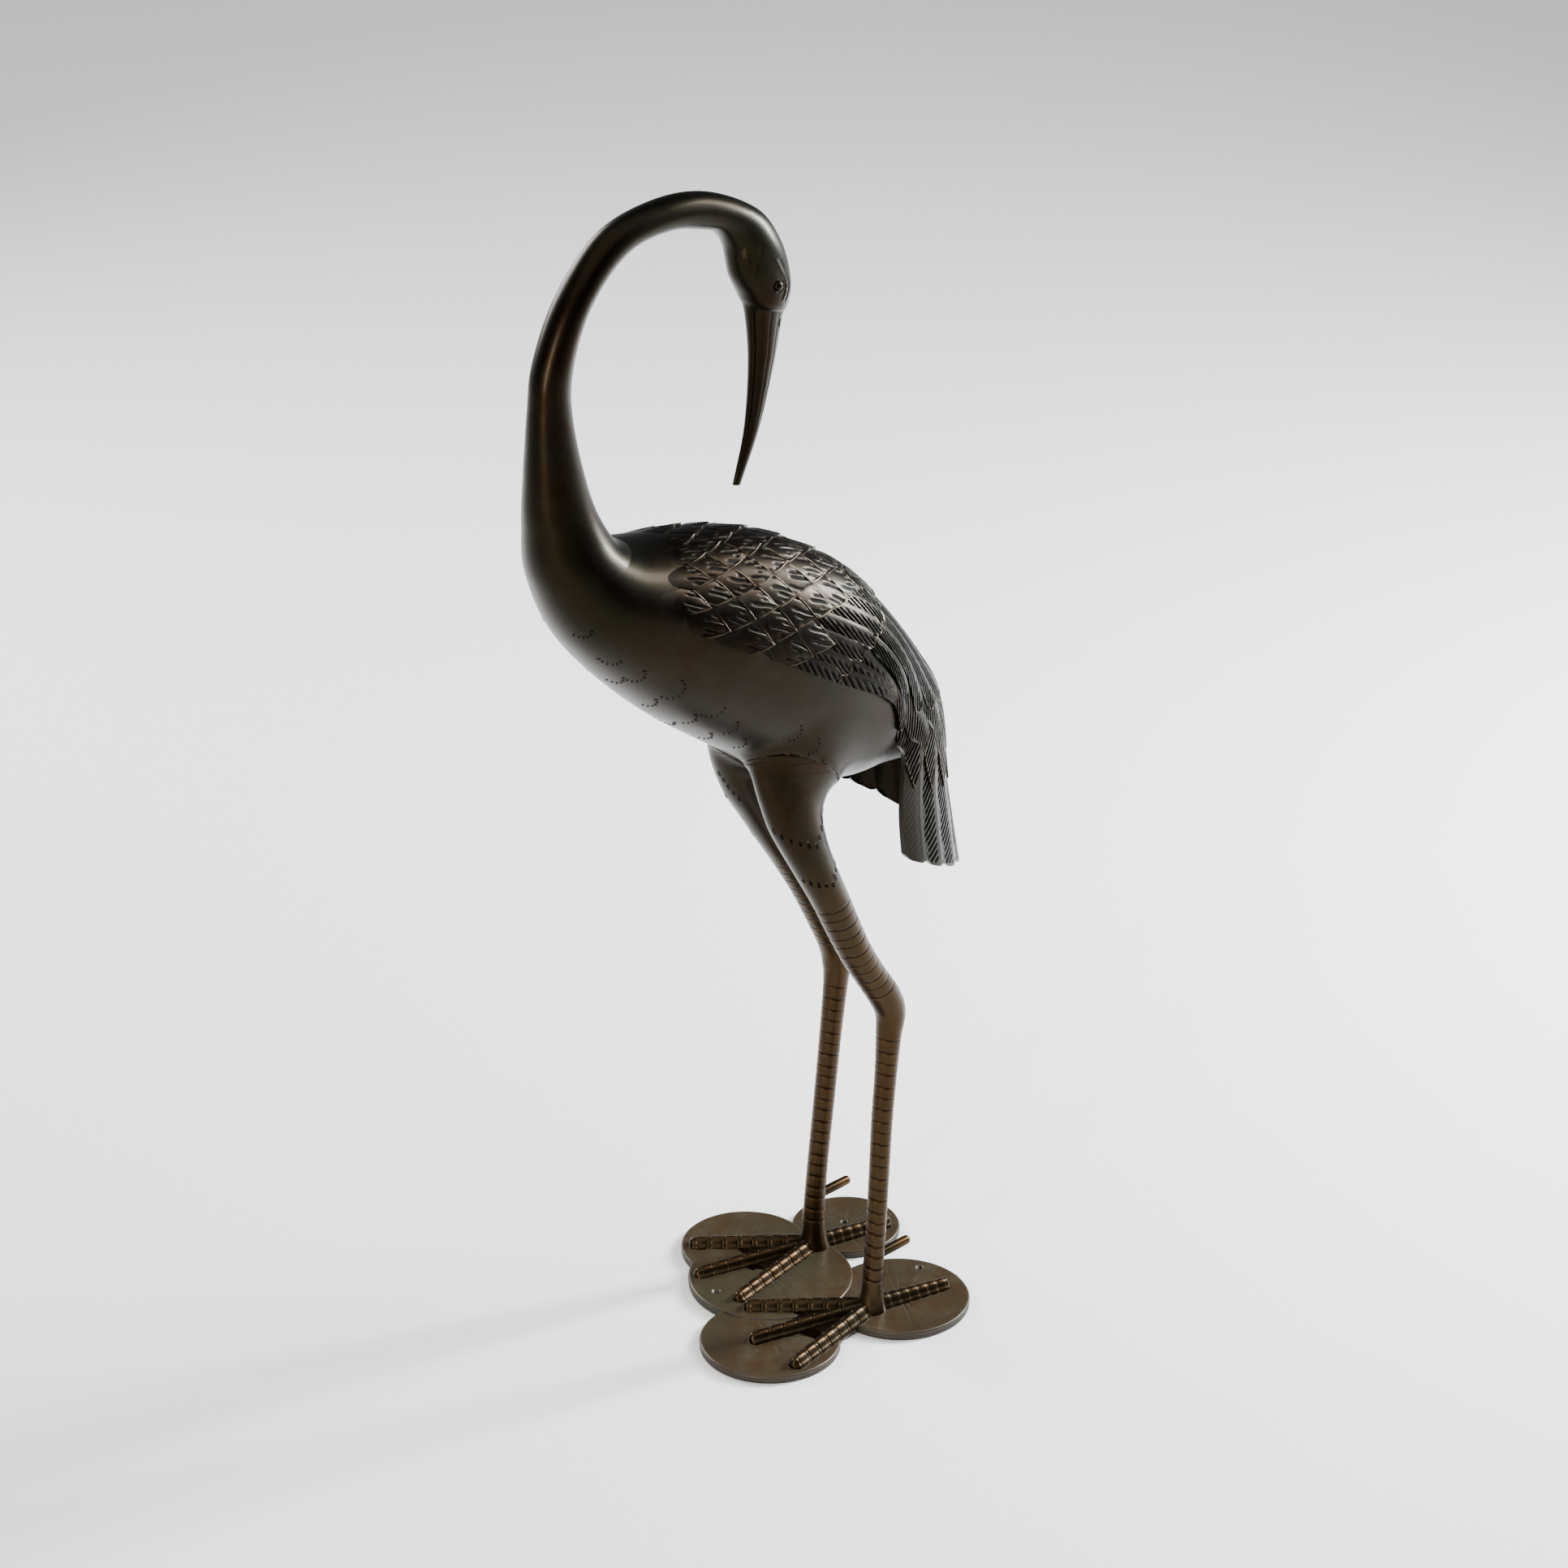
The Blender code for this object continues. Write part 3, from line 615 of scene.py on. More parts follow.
def patina(name, tone, green, copper, rubbed_and_highlit=COPPER, metal=1.0, low=None):
    """Bronze patina: olive and umber clouds, a grey-green bloom, copper where it is rubbed,
    the rubbed colour also painted as a highlight on the scale rims, and near black as
    painted shade in grooves, hollows and under overlaps.

    tone lightens it, green and copper are the strength of the bloom and of what is rubbed
    and painted as highlight, and low is the tone below the thighs where that differs.
    """
    paint = Paint(name)
    clouds = paint.noise(7.0, 3.0)
    mottle = paint.noise(60.0, 4.0)
    speckle = paint.noise(420.0, 2.0, 0.6)
    grain = paint.noise(1500.0, 2.0, 0.5)
    wear_and_highlight = paint.attribute("wear_and_highlight")
    painted_shade = paint.attribute("painted_shade")
    base = paint.mix(clouds.between(0.34, 0.66), toned(OLIVE, tone), toned(UMBER, tone))
    bloom = (mottle * 0.35 + clouds * 0.65).between(0.46, 0.66) * green
    base = paint.mix(bloom, base, toned(VERDIGRIS, tone))
    if low:
        below = paint.height().between(*THIGH_FADE)
        base = paint.mix(below, paint.mix(clouds, toned(UMBER, low), toned(OLIVE, low)), base)
    # Rubbed colour where worn, and on the scale rims as a painted highlight
    worn_and_highlit = (wear_and_highlight * (0.55 + mottle * 0.9)).between(0.15, 0.95) * copper
    base = paint.mix(worn_and_highlit.clear(), base, rubbed_and_highlit)
    # Painted shade: near black mixed in where a piece marks its grooves, hollows and overlaps dark
    base = paint.mix((painted_shade * 0.97).clear(), base, PAINTED_SHADE_BLACK)
    paint.set(
        base_color=base,
        roughness=(0.25 + mottle * 0.12 + speckle * 0.08 + painted_shade * 0.3).clear(),
        metallic=metal,
        coat_weight=(0.03 - painted_shade * 0.03).clear(),
        coat_roughness=0.14,
        normal=paint.bump(grain * 0.4 + speckle * 0.6, 0.22, 0.0004),
    )
    return paint.material


# Relief

def step(low, high, value):
    """0 below low, 1 above high, with a smooth rise between."""
    t = np.clip((value - low) / (high - low), 0, 1)
    return t * t * (3 - 2 * t)


def bell(distance, width):
    """1 at no distance, falling away over the width."""
    return np.exp(-((distance / width) ** 2))


def nearest_wave(value):
    """Distance from the nearest whole number."""
    return np.abs(value - np.round(value))


# Body

HEAD_END = 9.0
BODY_COLUMNS = 132
RING_SPACING = ((0, 8, 9.5, 14, 16, 25), (1.0, 0.9, 2.6, 2.8, 2.2, 2.8))


def spaced_stations():
    """Stations along the body, close together on the head and wider on the neck."""
    fine = np.linspace(0, len(BODY) - 1, 4001)
    rows = body_rows(fine)
    back = np.hypot(*np.diff(rows[:, 0:2], axis=0).T)
    breast = np.hypot(*np.diff(rows[:, 2:4], axis=0).T)
    spacing = np.interp(fine[1:], *RING_SPACING)
    count = np.concatenate([[0], np.cumsum(np.maximum(back, breast) / spacing)])
    return np.interp(np.arange(0, count[-1]), count, fine)


class HeadRelief:
    """Bill grooves, face step, eyelid, eye ring, nostril and cheek strokes, as lift."""

    def __init__(self, at, angles, grid):
        self.at = at
        self.grid = grid
        self.side = np.abs(np.degrees(np.where(angles > np.pi, angles - 2 * np.pi, angles)))
        self.lift = np.zeros(at.shape)
        self.painted_shade = np.zeros(at.shape)
        self.wear_and_highlight = np.zeros(at.shape)

    # Marks paint shade near black into the bill grooves, mouth, nostril, eye ring, lid crease and cheek
    # strokes, and copper wear onto raised rings, lid and cheek
    def press(self, mask, lift=0.0, painted_shade=0.0, wear_and_highlight=0.0):
        self.lift = self.lift + lift * mask
        self.painted_shade = np.maximum(self.painted_shade, painted_shade * mask)
        self.wear_and_highlight = np.maximum(self.wear_and_highlight, wear_and_highlight * mask)

    def line(self, points, width, taper=0.0):
        """Bell over a line of (station, angle) points, on both sides of the head."""
        best = np.zeros(self.at.shape)
        shares = np.linspace(0, 1, 40)
        knots = np.linspace(0, 1, len(points))
        stations, turns = (np.interp(shares, knots, values) for values in zip(*points))
        for share, station, turn in zip(shares, stations, turns):
            thick = width * (1 - taper * abs(2 * share - 1))
            for side in (1, -1):
                spot = body_points(np.array(station), np.array(math.radians(turn) * side))
                near = np.linalg.norm(self.grid - spot, axis=-1)
                best = np.maximum(best, bell(near, max(thick, 0.25)))
        return best

    def bill(self):
        on_bill = 1 - step(3.25, 3.42, self.at)
        upper = step(35, 85, self.side)
        self.press(step(3.32, 3.56, self.at) * (1 - step(4.1, 5.0, self.at)) * upper, lift=1.0)
        self.press(bell(self.at - 3.30, 0.06) * upper, lift=-0.3, painted_shade=0.5)
        self.press(bell(self.at - 3.55, 0.09) * upper, wear_and_highlight=0.25)
        mouth = bell(self.side - 31.0, 4.2) * on_bill * step(0.05, 0.6, self.at)
        self.press(mouth, lift=-0.7, painted_shade=0.85)
        for angle, depth in BILL_GROOVES:
            groove = bell(self.side - angle, 4.0) * on_bill * step(0.6, 1.6, self.at)
            self.press(groove, lift=-depth, painted_shade=0.9 * depth)
        nostril = self.line(NOSTRIL, 0.85)
        self.press(nostril, lift=-1.2, painted_shade=1.0)

    def face(self):
        eye = body_points(np.array(EYE_STATION), np.array(math.radians(EYE_ANGLE)))
        other = eye * np.array([1, -1, 1])
        near = np.minimum(
            np.linalg.norm(self.grid - eye, axis=-1), np.linalg.norm(self.grid - other, axis=-1),
        )
        self.press(bell(near - EYE_RADIUS - 0.3, 0.8), lift=-0.8, painted_shade=0.8)
        self.press(bell(near - EYE_RADIUS - 1.4, 0.5), lift=0.40, wear_and_highlight=0.35)
        lid = self.line(LID_LINE, 0.95, 0.5)
        crease = self.line(tuple((s, a + 11) for s, a in LID_LINE), 1.2, 0.5)
        self.press(lid, lift=1.0, wear_and_highlight=0.35)
        self.press(crease * (1 - lid), lift=-1.0, painted_shade=0.95)
        for points in CHEEK_STROKES:
            self.press(self.line(points, 0.6, 0.6), lift=-0.35, painted_shade=0.40)
            self.press(self.line(tuple((s, a - 7) for s, a in points), 0.8, 0.5), wear_and_highlight=0.45)
        self.press(self.line(CHEEK_PATCH, 2.8, 0.6), wear_and_highlight=0.55)


BILL_GROOVES = ((58.0, 0.20), (84.0, 0.30), (112.0, 0.35))
NOSTRIL = ((3.00, 122.0), (2.80, 124.0))
LID_LINE = ((5.62, 99.0), (5.36, 105.0), (5.10, 113.0), (4.84, 115.0), (4.54, 111.0), (4.16, 103.0))
CHEEK_PATCH = ((6.05, 45.0), (5.7, 38.0))
CHEEK_STROKES = (
    ((6.35, 86.0), (5.94, 77.0), (5.40, 60.0)),
    ((5.9, 52.0), (5.45, 47.0)),
    ((5.65, 62.0), (5.2, 57.0)),
)


def body_piece(material):
    """Bill, head, neck and body in one skin, just under the plumage on the back."""
    stations = spaced_stations()
    angles = np.linspace(0, 2 * np.pi, BODY_COLUMNS, endpoint=False)
    at, around = np.meshgrid(stations, angles, indexing="ij")
    grid = body_points(at, around)
    under = np.clip((at - SUNK_FROM) / 0.3, 0, 1)
    above = np.clip(0.5 + 2 * np.cos(around), 0, 1)
    lift = -SKIN_STEP * under * above
    wear_and_highlight = np.zeros(at.shape)
    painted_shade = np.zeros(at.shape)
    head = at[:, 0] < HEAD_END
    relief = HeadRelief(at[head], around[head], grid[head])
    relief.bill()
    relief.face()
    lift[head] += relief.lift
    wear_and_highlight[head] = relief.wear_and_highlight
    painted_shade[head] = relief.painted_shade
    shape = Shape()
    shape.tube(belly_points(at, around, lift), np.clip(wear_and_highlight, 0, 1), np.clip(painted_shade, 0, 1))
    return piece("body", shape, material)


def eyes_piece(material):
    """Two balls let into the sides of the head."""
    shape = Shape()
    lean, turn = np.meshgrid(
        np.linspace(0.04, np.pi - 0.04, 24), np.linspace(0, 2 * np.pi, 32, endpoint=False),
        indexing="ij",
    )
    ball = np.stack([np.sin(lean) * np.cos(turn), np.cos(lean), np.sin(lean) * np.sin(turn)], axis=-1)
    for side in (1, -1):
        spot = body_points(np.array(EYE_STATION), np.array(math.radians(EYE_ANGLE) * side))
        spot = spot * np.array([1.0, EYE_SINK, 1.0])
        shape.tube(spot + ball * EYE_RADIUS)
    return piece("eyes", shape, material)


# Chased dashes

# Rings of a dash: share of its size, lift, how dark with painted shade and how worn
DASH_RINGS = (
    (0.40, 0.10, 1.0, 0.0),
    (0.78, 0.12, 1.0, 0.0),
    (0.95, 0.28, 0.1, 0.45),
    (1.15, -0.40, 0.0, 0.2),
    (0.50, -0.60, 0.0, 0.0),
)


def dash(shape, place, along, across, half_length, half_width, heading=0.0):
    """Small nick with a raised lip: rings from a middle painted dark as the nick's shade, over the lip,
    into the skin.

    place turns distances along and across and a lift into points on the skin.
    """
    turn = np.linspace(0, 2 * np.pi, 9)[:-1]
    share, lift, dark, worn_and_highlit = np.array(DASH_RINGS).T[..., None]
    long, wide = share * half_length * np.cos(turn), share * half_width * np.sin(turn)
    x = along + long * math.cos(heading) - wide * math.sin(heading)
    y = across + long * math.sin(heading) + wide * math.cos(heading)
    shape.tube(place(x, y, lift + 0 * x), worn_and_highlit, dark)


def place_on(skin, dressed, at, angle, side=1):
    """Distances around one spot of a skin, along it and round it, as points on its dressed form."""
    small = 0.01
    spot = skin(np.array(at), np.array(angle))
    run = np.linalg.norm(skin(np.array(at + small), np.array(angle)) - spot) / small
    turn = np.linalg.norm(skin(np.array(at), np.array(angle + small)) - spot) / small

    def place(x, y, lift):
        return dressed(at + x / run, side * (angle + y / turn), lift)

    return place


def dashes_piece(material):
    """Arcs of dashes that outline the breast feathers, and rows of them on the thighs."""
    shape = Shape()
    for station, angle, start, end, radius in BREAST_ARCS:
        for side in (1, -1):
            place = place_on(body_points, belly_points, station, math.radians(angle), side)
            for turn in np.radians(np.arange(start, end + 1, ARC_GAP)):
                x, y = radius * math.cos(turn), radius * math.sin(turn)
                dash(shape, place, x, y, 1.5 + 0.3 * math.sin(9 * turn), 0.9, turn + 0.35)
    for table, rows in ((NEAR_LEG, THIGH_ROWS), (FAR_LEG, FAR_THIGH_ROWS)):
        for height, rise, middle, first, last, gap in rows:
            for turn in np.arange(first, last + 1, gap):
                angle = math.radians(middle + turn)
                at = leg_row(table, height + rise * abs(turn))
                place = place_on(partial(leg_points, table), partial(thigh_points, table), at, angle)
                dash(shape, place, 0.0, 0.0, 3.2 + 0.6 * math.sin(5 * turn), 1.6)
    return piece("chased_dashes", shape, material)


# Station, angle, first and last turn, radius; degrees between the dashes
ARC_GAP = 22
BREAST_ARCS = (
    (16.62, 149, -60, 60, 10),
    (17.12, 142, -20, 100, 10),
    (17.45, 141, -70, 70, 10),
    (17.40, 160, -60, 60, 11),
    (17.85, 133, -80, 80, 12),
    (17.85, 158, -70, 60, 11),
    (18.40, 130, -20, 100, 12),
    (18.30, 150, -70, 60, 11),
    (18.30, 170, -60, 60, 11),
    (18.75, 140, -60, 70, 11),
    (18.70, 161, -70, 60, 11),
    (19.05, 151, -70, 60, 11),
    (19.50, 124, -50, 60, 10),
    (19.80, 127, -50, 60, 10),
    (19.70, 143, -50, 50, 9),
    (20.00, 141, -60, 50, 9),
)
# Height, rise per degree, middle angle, first and last turn from it and the gap between
THIGH_ROWS = (
    (446, 0.27, 270, -80, 80, 16),
    (409, 0.17, 270, -72, 72, 18),
)
FAR_THIGH_ROWS = (
    (467, 0.85, 217, -30, 0, 7),
    (446, 0.27, 90, -80, 80, 16),
    (409, 0.17, 90, -72, 72, 18),
)


# Plumage

def feather(shape, kind, root, tip, size, relief, under=2):
    """One feather as a closed shell on the plumage.

    root and tip each give the section, the lane of the middle and the half width in
    lanes. relief gives the barbs' lean, then lift, wear with painted highlight, painted shade
    and the lift of the under side, over u from -1 to 1 across and v from 0 to 1 along the feather.
    """
    rows, columns = size
    along = np.linspace(0, 1, rows)[:, None]
    share = np.linspace(0, 1, columns)[None, :]
    v = relief.lean(along, 2 * share - 1)
    taper = narrowing(kind, v)
    lane = root[1] + (tip[1] - root[1]) * v
    half = (root[2] + (tip[2] - root[2]) * v) * taper
    low = np.maximum(-1, (-1 - lane) / half)
    high = np.minimum(1, (1 - lane) / half)
    u = low + (high - low) * share
    at = root[0] + (tip[0] - root[0]) * v
    lift, wear_and_highlight, painted_shade, bottom = relief.over(u, v, taper)
    top = plumage_points(at, lane + half * u, lift)
    picked = np.round(np.linspace(0, columns - 1, under)).astype(int)
    lower = plumage_points(at, lane + half * u, bottom)[:, picked]
    shape.shell(top, lower, wear_and_highlight, painted_shade)


# Where a feather starts to narrow, depth and power of the curve, least width and roundness
TIPS = {
    "scale": (0.60, 1.0, 1.22, 0.035, 1.0),
    "quill": (0.86, 1.0, 2.2, 0.012, 0.5),
    "leaf": (0.66, 1.0, 1.8, 0.05, 1.0),
    "tail": (0.955, 0.80, 2.0, 0.05, 0.5),
}


def narrowing(kind, v):
    """Width share along a feather: full, then 1 less a power of t from the start to the tip.

    A roundness of 0.5 takes the root of it, which makes a straight point a round end.
    """
    start, depth, power, least, roundness = TIPS[kind]
    t = np.clip((v - start) / (1 - start), 0, 1)
    return np.maximum(1 - depth * t**power, least) ** roundness


class ScaleRelief:
    """Scale feather: rises to its point, thin raised rim with a painted highlight, a fan of strokes cut
    along it, painted shade in the strokes and on the covered root.
    """

    def __init__(self, seed, half_width):
        self.seed = seed
        self.half_width = half_width

    def lean(self, along, across):
        return np.broadcast_arrays(along, across)[0]

    def over(self, u, v, taper):
        seed = self.seed
        from_edge = (1 - np.abs(u)) * taper * self.half_width
        from_edge = np.where(v > 0.5, from_edge, 99.0)
        # The rim is raised and gets the rubbed colour, worn and painted on as a highlight
        rim = (1 - step(0.8, 1.4, from_edge)) * step(0.60, 0.68, v)
        rise = -1.7 + (SCALE_RISE + 1.7) * step(-0.1, 0.95, v)
        fan = u * taper * (1.35 - 0.40 * v) * STROKES / 2 + 0.5 * math.sin(7.1 * seed)
        bent = fan + 0.16 * np.sin(9 * v + seed)
        number = np.round(bent)
        wide = 0.13 + 0.06 * np.sin(5.3 * number + 2.7 * seed)
        stroke = 1 - step(wide, wide + 0.15, np.abs(bent - number))
        starts = 0.60 + 0.12 * np.sin(2.3 * number + 1.7 * seed)
        ends = 0.86 + 0.10 * np.sin(3.7 * number + 2.9 * seed)
        on = step(starts, starts + 0.05, v) * (1 - step(ends - 0.05, ends, v))
        cut = stroke * on * step(1.3, 2.0, from_edge)
        tilt = 0.6 * math.sin(11 * seed) * u
        lift = rise + 0.9 * (1 - u**2) + tilt - 0.75 * cut + 0.55 * rim
        worn_and_highlit = 0.5 + 0.5 * np.sin(7 * v + 5 * u + 9 * seed)
        wear_and_highlight = (0.45 + 0.55 * worn_and_highlit) * rim + 0.10 * worn_and_highlit * (1 - stroke) * on
        # Painted shade in the cut strokes and on the covered root half
        return lift, wear_and_highlight, np.clip(cut + 0.5 * (1 - step(0.30, 0.42, v)), 0, 1), np.full(u.shape, -2.6)


class VaneRelief:
    """Long feather: a raised shaft band with two fine lines, and barbs cut beside it.

    The barbs lean away from the shaft towards the tip, and the grid leans with them.
    side is -1 on the bird's left.
    """

    SHAFT = 0.46
    BAND = 0.085

    def __init__(self, length, half_width, pitch, lean, side, rise, wall, cut, seed=0.0):
        self.length = length
        self.half_width = half_width
        self.pitch = pitch
        self.slope = lean
        self.side = side
        self.rise = rise
        self.wall = wall
        self.cut = cut
        self.seed = seed

    def away(self, across):
        """Distance from the shaft towards the outer edge, in shares of the half width."""
        return across * self.side + self.SHAFT

    def lean(self, along, across):
        far = (1 + self.SHAFT) * self.half_width * self.slope / self.length
        power = min(6.0, 0.7 / max(far, 1e-3))
        shift = np.clip(self.away(across), -0.3, 2) * self.half_width * self.slope / self.length
        shift = shift + 0.3 * self.half_width * self.slope / self.length
        return along + shift * (1 - along**power)

    def over(self, u, v, taper):
        away = self.away(u * np.minimum(1, taper + 0.15))
        width = self.half_width
        phase = (v * self.length - self.slope * np.clip(away, -0.3, 2) * width) / self.pitch
        number = np.round(phase)
        wobble = 0.05 * np.sin(12.9 * number + self.seed)
        stroke = 1 - step(0.17, 0.29, np.abs(phase - number + wobble))
        reach = 0.86 + 0.10 * np.sin(7.3 * number + self.seed)
        vane = step(self.BAND + 0.03, self.BAND + 0.10, away)
        vane = vane * (1 - step(reach, reach + 0.08, (away - self.BAND) / (1 + self.SHAFT - self.BAND)))
        from_tip = (1 - v) * self.length
        ends = step(2.0, 3.6, from_tip)
        lines = bell(np.abs(np.abs(away) - self.BAND), 0.045) * ends
        outward = np.clip(away - self.BAND, 0, 2) / (1 + self.SHAFT)
        inward = np.clip(-away - self.BAND, 0, 2)
        slope = 0.8 - 0.55 * outward - 1.0 * inward
        cut = stroke * ends * vane
        edge = (1 - np.abs(u)) * taper * width + 0.35 * from_tip * (taper > 0.98)
        tip_rim = 1 - step(0.7, 1.4, np.minimum(edge, from_tip))
        base = self.rise[0] + (self.rise[1] - self.rise[0]) * step(0.0, 0.8, v)
        lift = base + slope - self.cut * cut - 0.3 * lines + 0.25 * tip_rim
        wear_and_highlight = 0.15 * self.cut * (1 - stroke) * vane + 0.7 * tip_rim
        wear_and_highlight = wear_and_highlight + 0.40 * bell(away, self.BAND) * (1 - lines)
        # Painted shade in the cut barbs and the fine lines beside the shaft
        painted_shade = np.clip(min(1.0, 1.6 * self.cut) * cut + 0.8 * lines, 0, 1)
        return lift, wear_and_highlight, painted_shade, self.wall(u, v)


def lane_centres(count, shift):
    """Middles of the feathers of one row, in lane shares."""
    places = (np.arange(count + 1) + 0.5 - shift) / count * 2 - 1
    return places[(places > -1 - 0.1 / count) & (places < 1 + 0.1 / count)]


def outer_side(lane):
    """Side of the bird that a lane lies on, -1 or 1."""
    return -1.0 if lane < 0 else 1.0


def scale_end(lane):
    """Section up to which the scales lie, further back along the ridge."""
    return SCALES_END + SCALES_END_RISE * (1 - abs(lane))


def scales_piece(material):
    """Rows of scale feathers in a diamond net, each row half a lane beside the last."""
    shape = Shape()
    for number in range(SCALE_ROWS):
        tip = FIRST_SCALE_TIP + number * SCALE_PITCH
        for lane in lane_centres(LANES, 0.5 if number % 2 == 0 else 0.0):
            if abs(lane) > 0.99 or tip > scale_end(lane):
                continue
            seed = 2.1 * number + 5.3 * lane
            half = SCALE_WIDTH / LANES
            reach = SCALE_PITCH / SCALE_SHOWING
            width = span_width(tip - SCALE_PITCH, lane, half)
            here = lane + 0.008 * math.sin(3 * seed)
            end = tip + 0.025 * math.sin(5 * seed)
            feather(
                shape, "scale", (end - reach, here, half), (end, here, half), SCALE_GRID,
                ScaleRelief(seed, width),
            )
    return piece("scale_feathers", shape, material, 50)


def down_piece(material):
    """Plain layer just under the feathers, closed across the inside of the body."""
    at, lane = np.meshgrid(np.linspace(*DOWN_SECTIONS, 70), np.linspace(-1, 1, 73), indexing="ij")
    top = plumage_points(at, lane, -DOWN_SUNK)
    middle = (top[:, :1] + top[:, -1:]) / 2
    bottom = middle + (top - middle) * DOWN_INNER
    shape = Shape()
    # Painted shade over the whole layer, which shows only between the feathers
    shape.shell(top, bottom, 0.0, 0.35)
    return piece("down_layer", shape, material)


def span_length(root, tip):
    """Length over the plumage from a feather's root to its tip."""
    stations = np.linspace(root[0], tip[0], 24)
    lanes = np.linspace(root[1], tip[1], 24)
    ends = plumage_points(stations, np.clip(lanes, -1, 1), 0.0)
    return np.linalg.norm(np.diff(ends, axis=0), axis=1).sum()


def span_width(at, lane, half):
    """Half width of a feather at one section, across the plumage."""
    ends = plumage_points(np.array([at, at]), np.clip([lane - half, lane + half], -1, 1), 0.0)
    return np.linalg.norm(ends[1] - ends[0]) / 2


def flat_wall(u, v):
    """Under side of a back feather, at one depth all over."""
    return np.full(u.shape, -UNDER_SIDE)


# Kind of tip, pitch and lean of the barbs, lift at root and tip, depth of the cuts, grid step
TIERS = {
    "leaf_feathers": ("leaf", 5.8, 1.0, (-1.0, 1.5), 0.8, 0.86),
    "second_quills": ("leaf", 7.0, 1.5, (-1.0, 1.9), 0.8, 0.88),
    "long_quills": ("quill", 9.2, 1.95, (-0.8, 2.2), 1.0, 0.92),
    "wing_coverts": ("quill", 8.4, 1.95, (-1.1, 2.4), 0.9, 0.88),
}


def tier(name, feathers, material):
    """One tier of long feathers, from the root and tip of each."""
    kind, pitch, lean, rise, cut, spacing = TIERS[name]
    shape = Shape()
    for number, (root, tip) in enumerate(feathers):
        length = span_length(root, tip)
        width = span_width(tip[0] - 0.25 * (tip[0] - root[0]), tip[1], tip[2])
        relief = VaneRelief(
            length, width, pitch, lean, outer_side(tip[1]), rise, flat_wall, cut, 1.7 * number,
        )
        size = (int(length / spacing), max(12, int(2 * width / 1.12)))
        feather(shape, kind, root, tip, size, relief)
    return piece(name, shape, material, 50)


# Section where each tier's feathers end, by their lane's distance from the ridge
QUILL_ENDS = ((0, 0.25, 0.5, 0.7, 0.85, 1), (6.0, 5.9, 5.65, 5.0, 4.45, 3.95))
COVERT_ENDS = ((0, 0.45, 0.61, 0.74, 0.86, 1), (3.95, 3.8, 3.55, 3.28, 3.05, 2.8))
SECOND_ENDS = ((0, 0.33, 0.60, 0.84, 1), (6.62, 6.52, 6.38, 6.10, 4.3))
LEAF_ENDS = ((0, 0.36, 0.85, 1), (6.98, 6.92, 6.68, 6.46))


def end_of(lane, ends):
    """Section where the feather of a lane ends, between the given ones in a straight line."""
    return float(np.interp(abs(lane), *ends))


def tiers_pieces(material):
    """Leaf feathers over the tail's root, a second tier, the long quills and the coverts."""
    leaves = []
    for lane in lane_centres(LANES, 0.0):
        leaves.append(((4.4, lane, 1.10 / LANES), (end_of(lane, LEAF_ENDS), lane, 1.10 / LANES)))
    tier("leaf_feathers", leaves, material)
    second = []
    for lane in lane_centres(LANES, 0.5):
        lane = float(np.clip(lane, -0.96, 0.96))
        end = end_of(lane, SECOND_ENDS)
        second.append(((3.6, lane, 1.08 / LANES), (end, lane, 1.08 / LANES)))
    tier("second_quills", second, material)
    long_quills = []
    for lane in lane_centres(QUILLS, 0.0):
        spread = min(QUILL_SPREAD * abs(lane), 0.97) * outer_side(lane)
        end = end_of(spread, QUILL_ENDS)
        root = min(end_of(lane, COVERT_ENDS) - 0.5, end - 1.0)
        ratio = abs(spread / lane)
        long_quills.append(((root, lane, 1.10 / QUILLS), (end, spread, 1.10 * ratio / QUILLS)))
    tier("long_quills", long_quills, material)
    coverts = []
    for lane in lane_centres(QUILLS, 0.5):
        lane = float(np.clip(lane, -0.97, 0.97))
        end = end_of(lane, COVERT_ENDS)
        coverts.append(((end - 1.25, lane * 0.97, 1.12 / QUILLS), (end, lane, 1.12 / QUILLS)))
    tier("wing_coverts", coverts, material)


def tail_piece(material):
    """Nine tail feathers side by side, fluted on the inside of the tail too."""
    shape = Shape()

    def wall(u, v):
        return -TAIL_WALL + 1.5 * (1 - u**2) * step(0.25, 0.6, v)

    for number, lane in enumerate(lane_centres(LANES, 0.0)):
        root, tip = ((at, lane, TAIL_WIDTH / LANES) for at in (TAIL_ROOT, TAIL_TO))
        length = span_length(root, tip)
        width = span_width(7.5, lane, root[2])
        relief = VaneRelief(
            length, width, TAIL_PITCH, TAIL_LEAN, outer_side(lane), TAIL_LIFT, wall,
            0.8 if abs(lane) < PLAIN_FROM else 0.05, 2.3 * number,
        )
        feather(shape, "tail", root, tip, (int(length / TAIL_ROW), TAIL_COLUMNS), relief, 6)
    return piece("tail_feathers", shape, material, 50)


# Legs and feet

def leg_frames(table, at):
    """Path, two square directions and the two half sizes of a leg at the given rows."""
    small = 0.02
    rows = smooth(table, at)
    run = smooth(table, np.asarray(at) + small) - smooth(table, np.asarray(at) - small)
    tangent = run[..., :3] / np.linalg.norm(run[..., :3], axis=-1, keepdims=True)
    side = np.cross(tangent, np.array([0.0, 1.0, 0.0]))
    side = side / np.linalg.norm(side, axis=-1, keepdims=True)
    return rows[..., :3], side, np.cross(side, tangent), rows[..., 3], rows[..., 4]


def leg_points(table, at, angles, lift=0.0):
    """Points on a leg: an ellipse square to its path at each row number, raised by lift."""
    path, side, other, depth, width = leg_frames(table, at)
    c, s = np.cos(angles), np.sin(angles)
    deep_way = ((depth + lift) * c)[..., None]
    wide_way = ((width + lift) * s)[..., None]
    return path + deep_way * side + wide_way * other


def leg_row(table, height):
    """Row number of a leg at a height."""
    return float(np.interp(-height, [-row[2] for row in table], np.arange(len(table))))


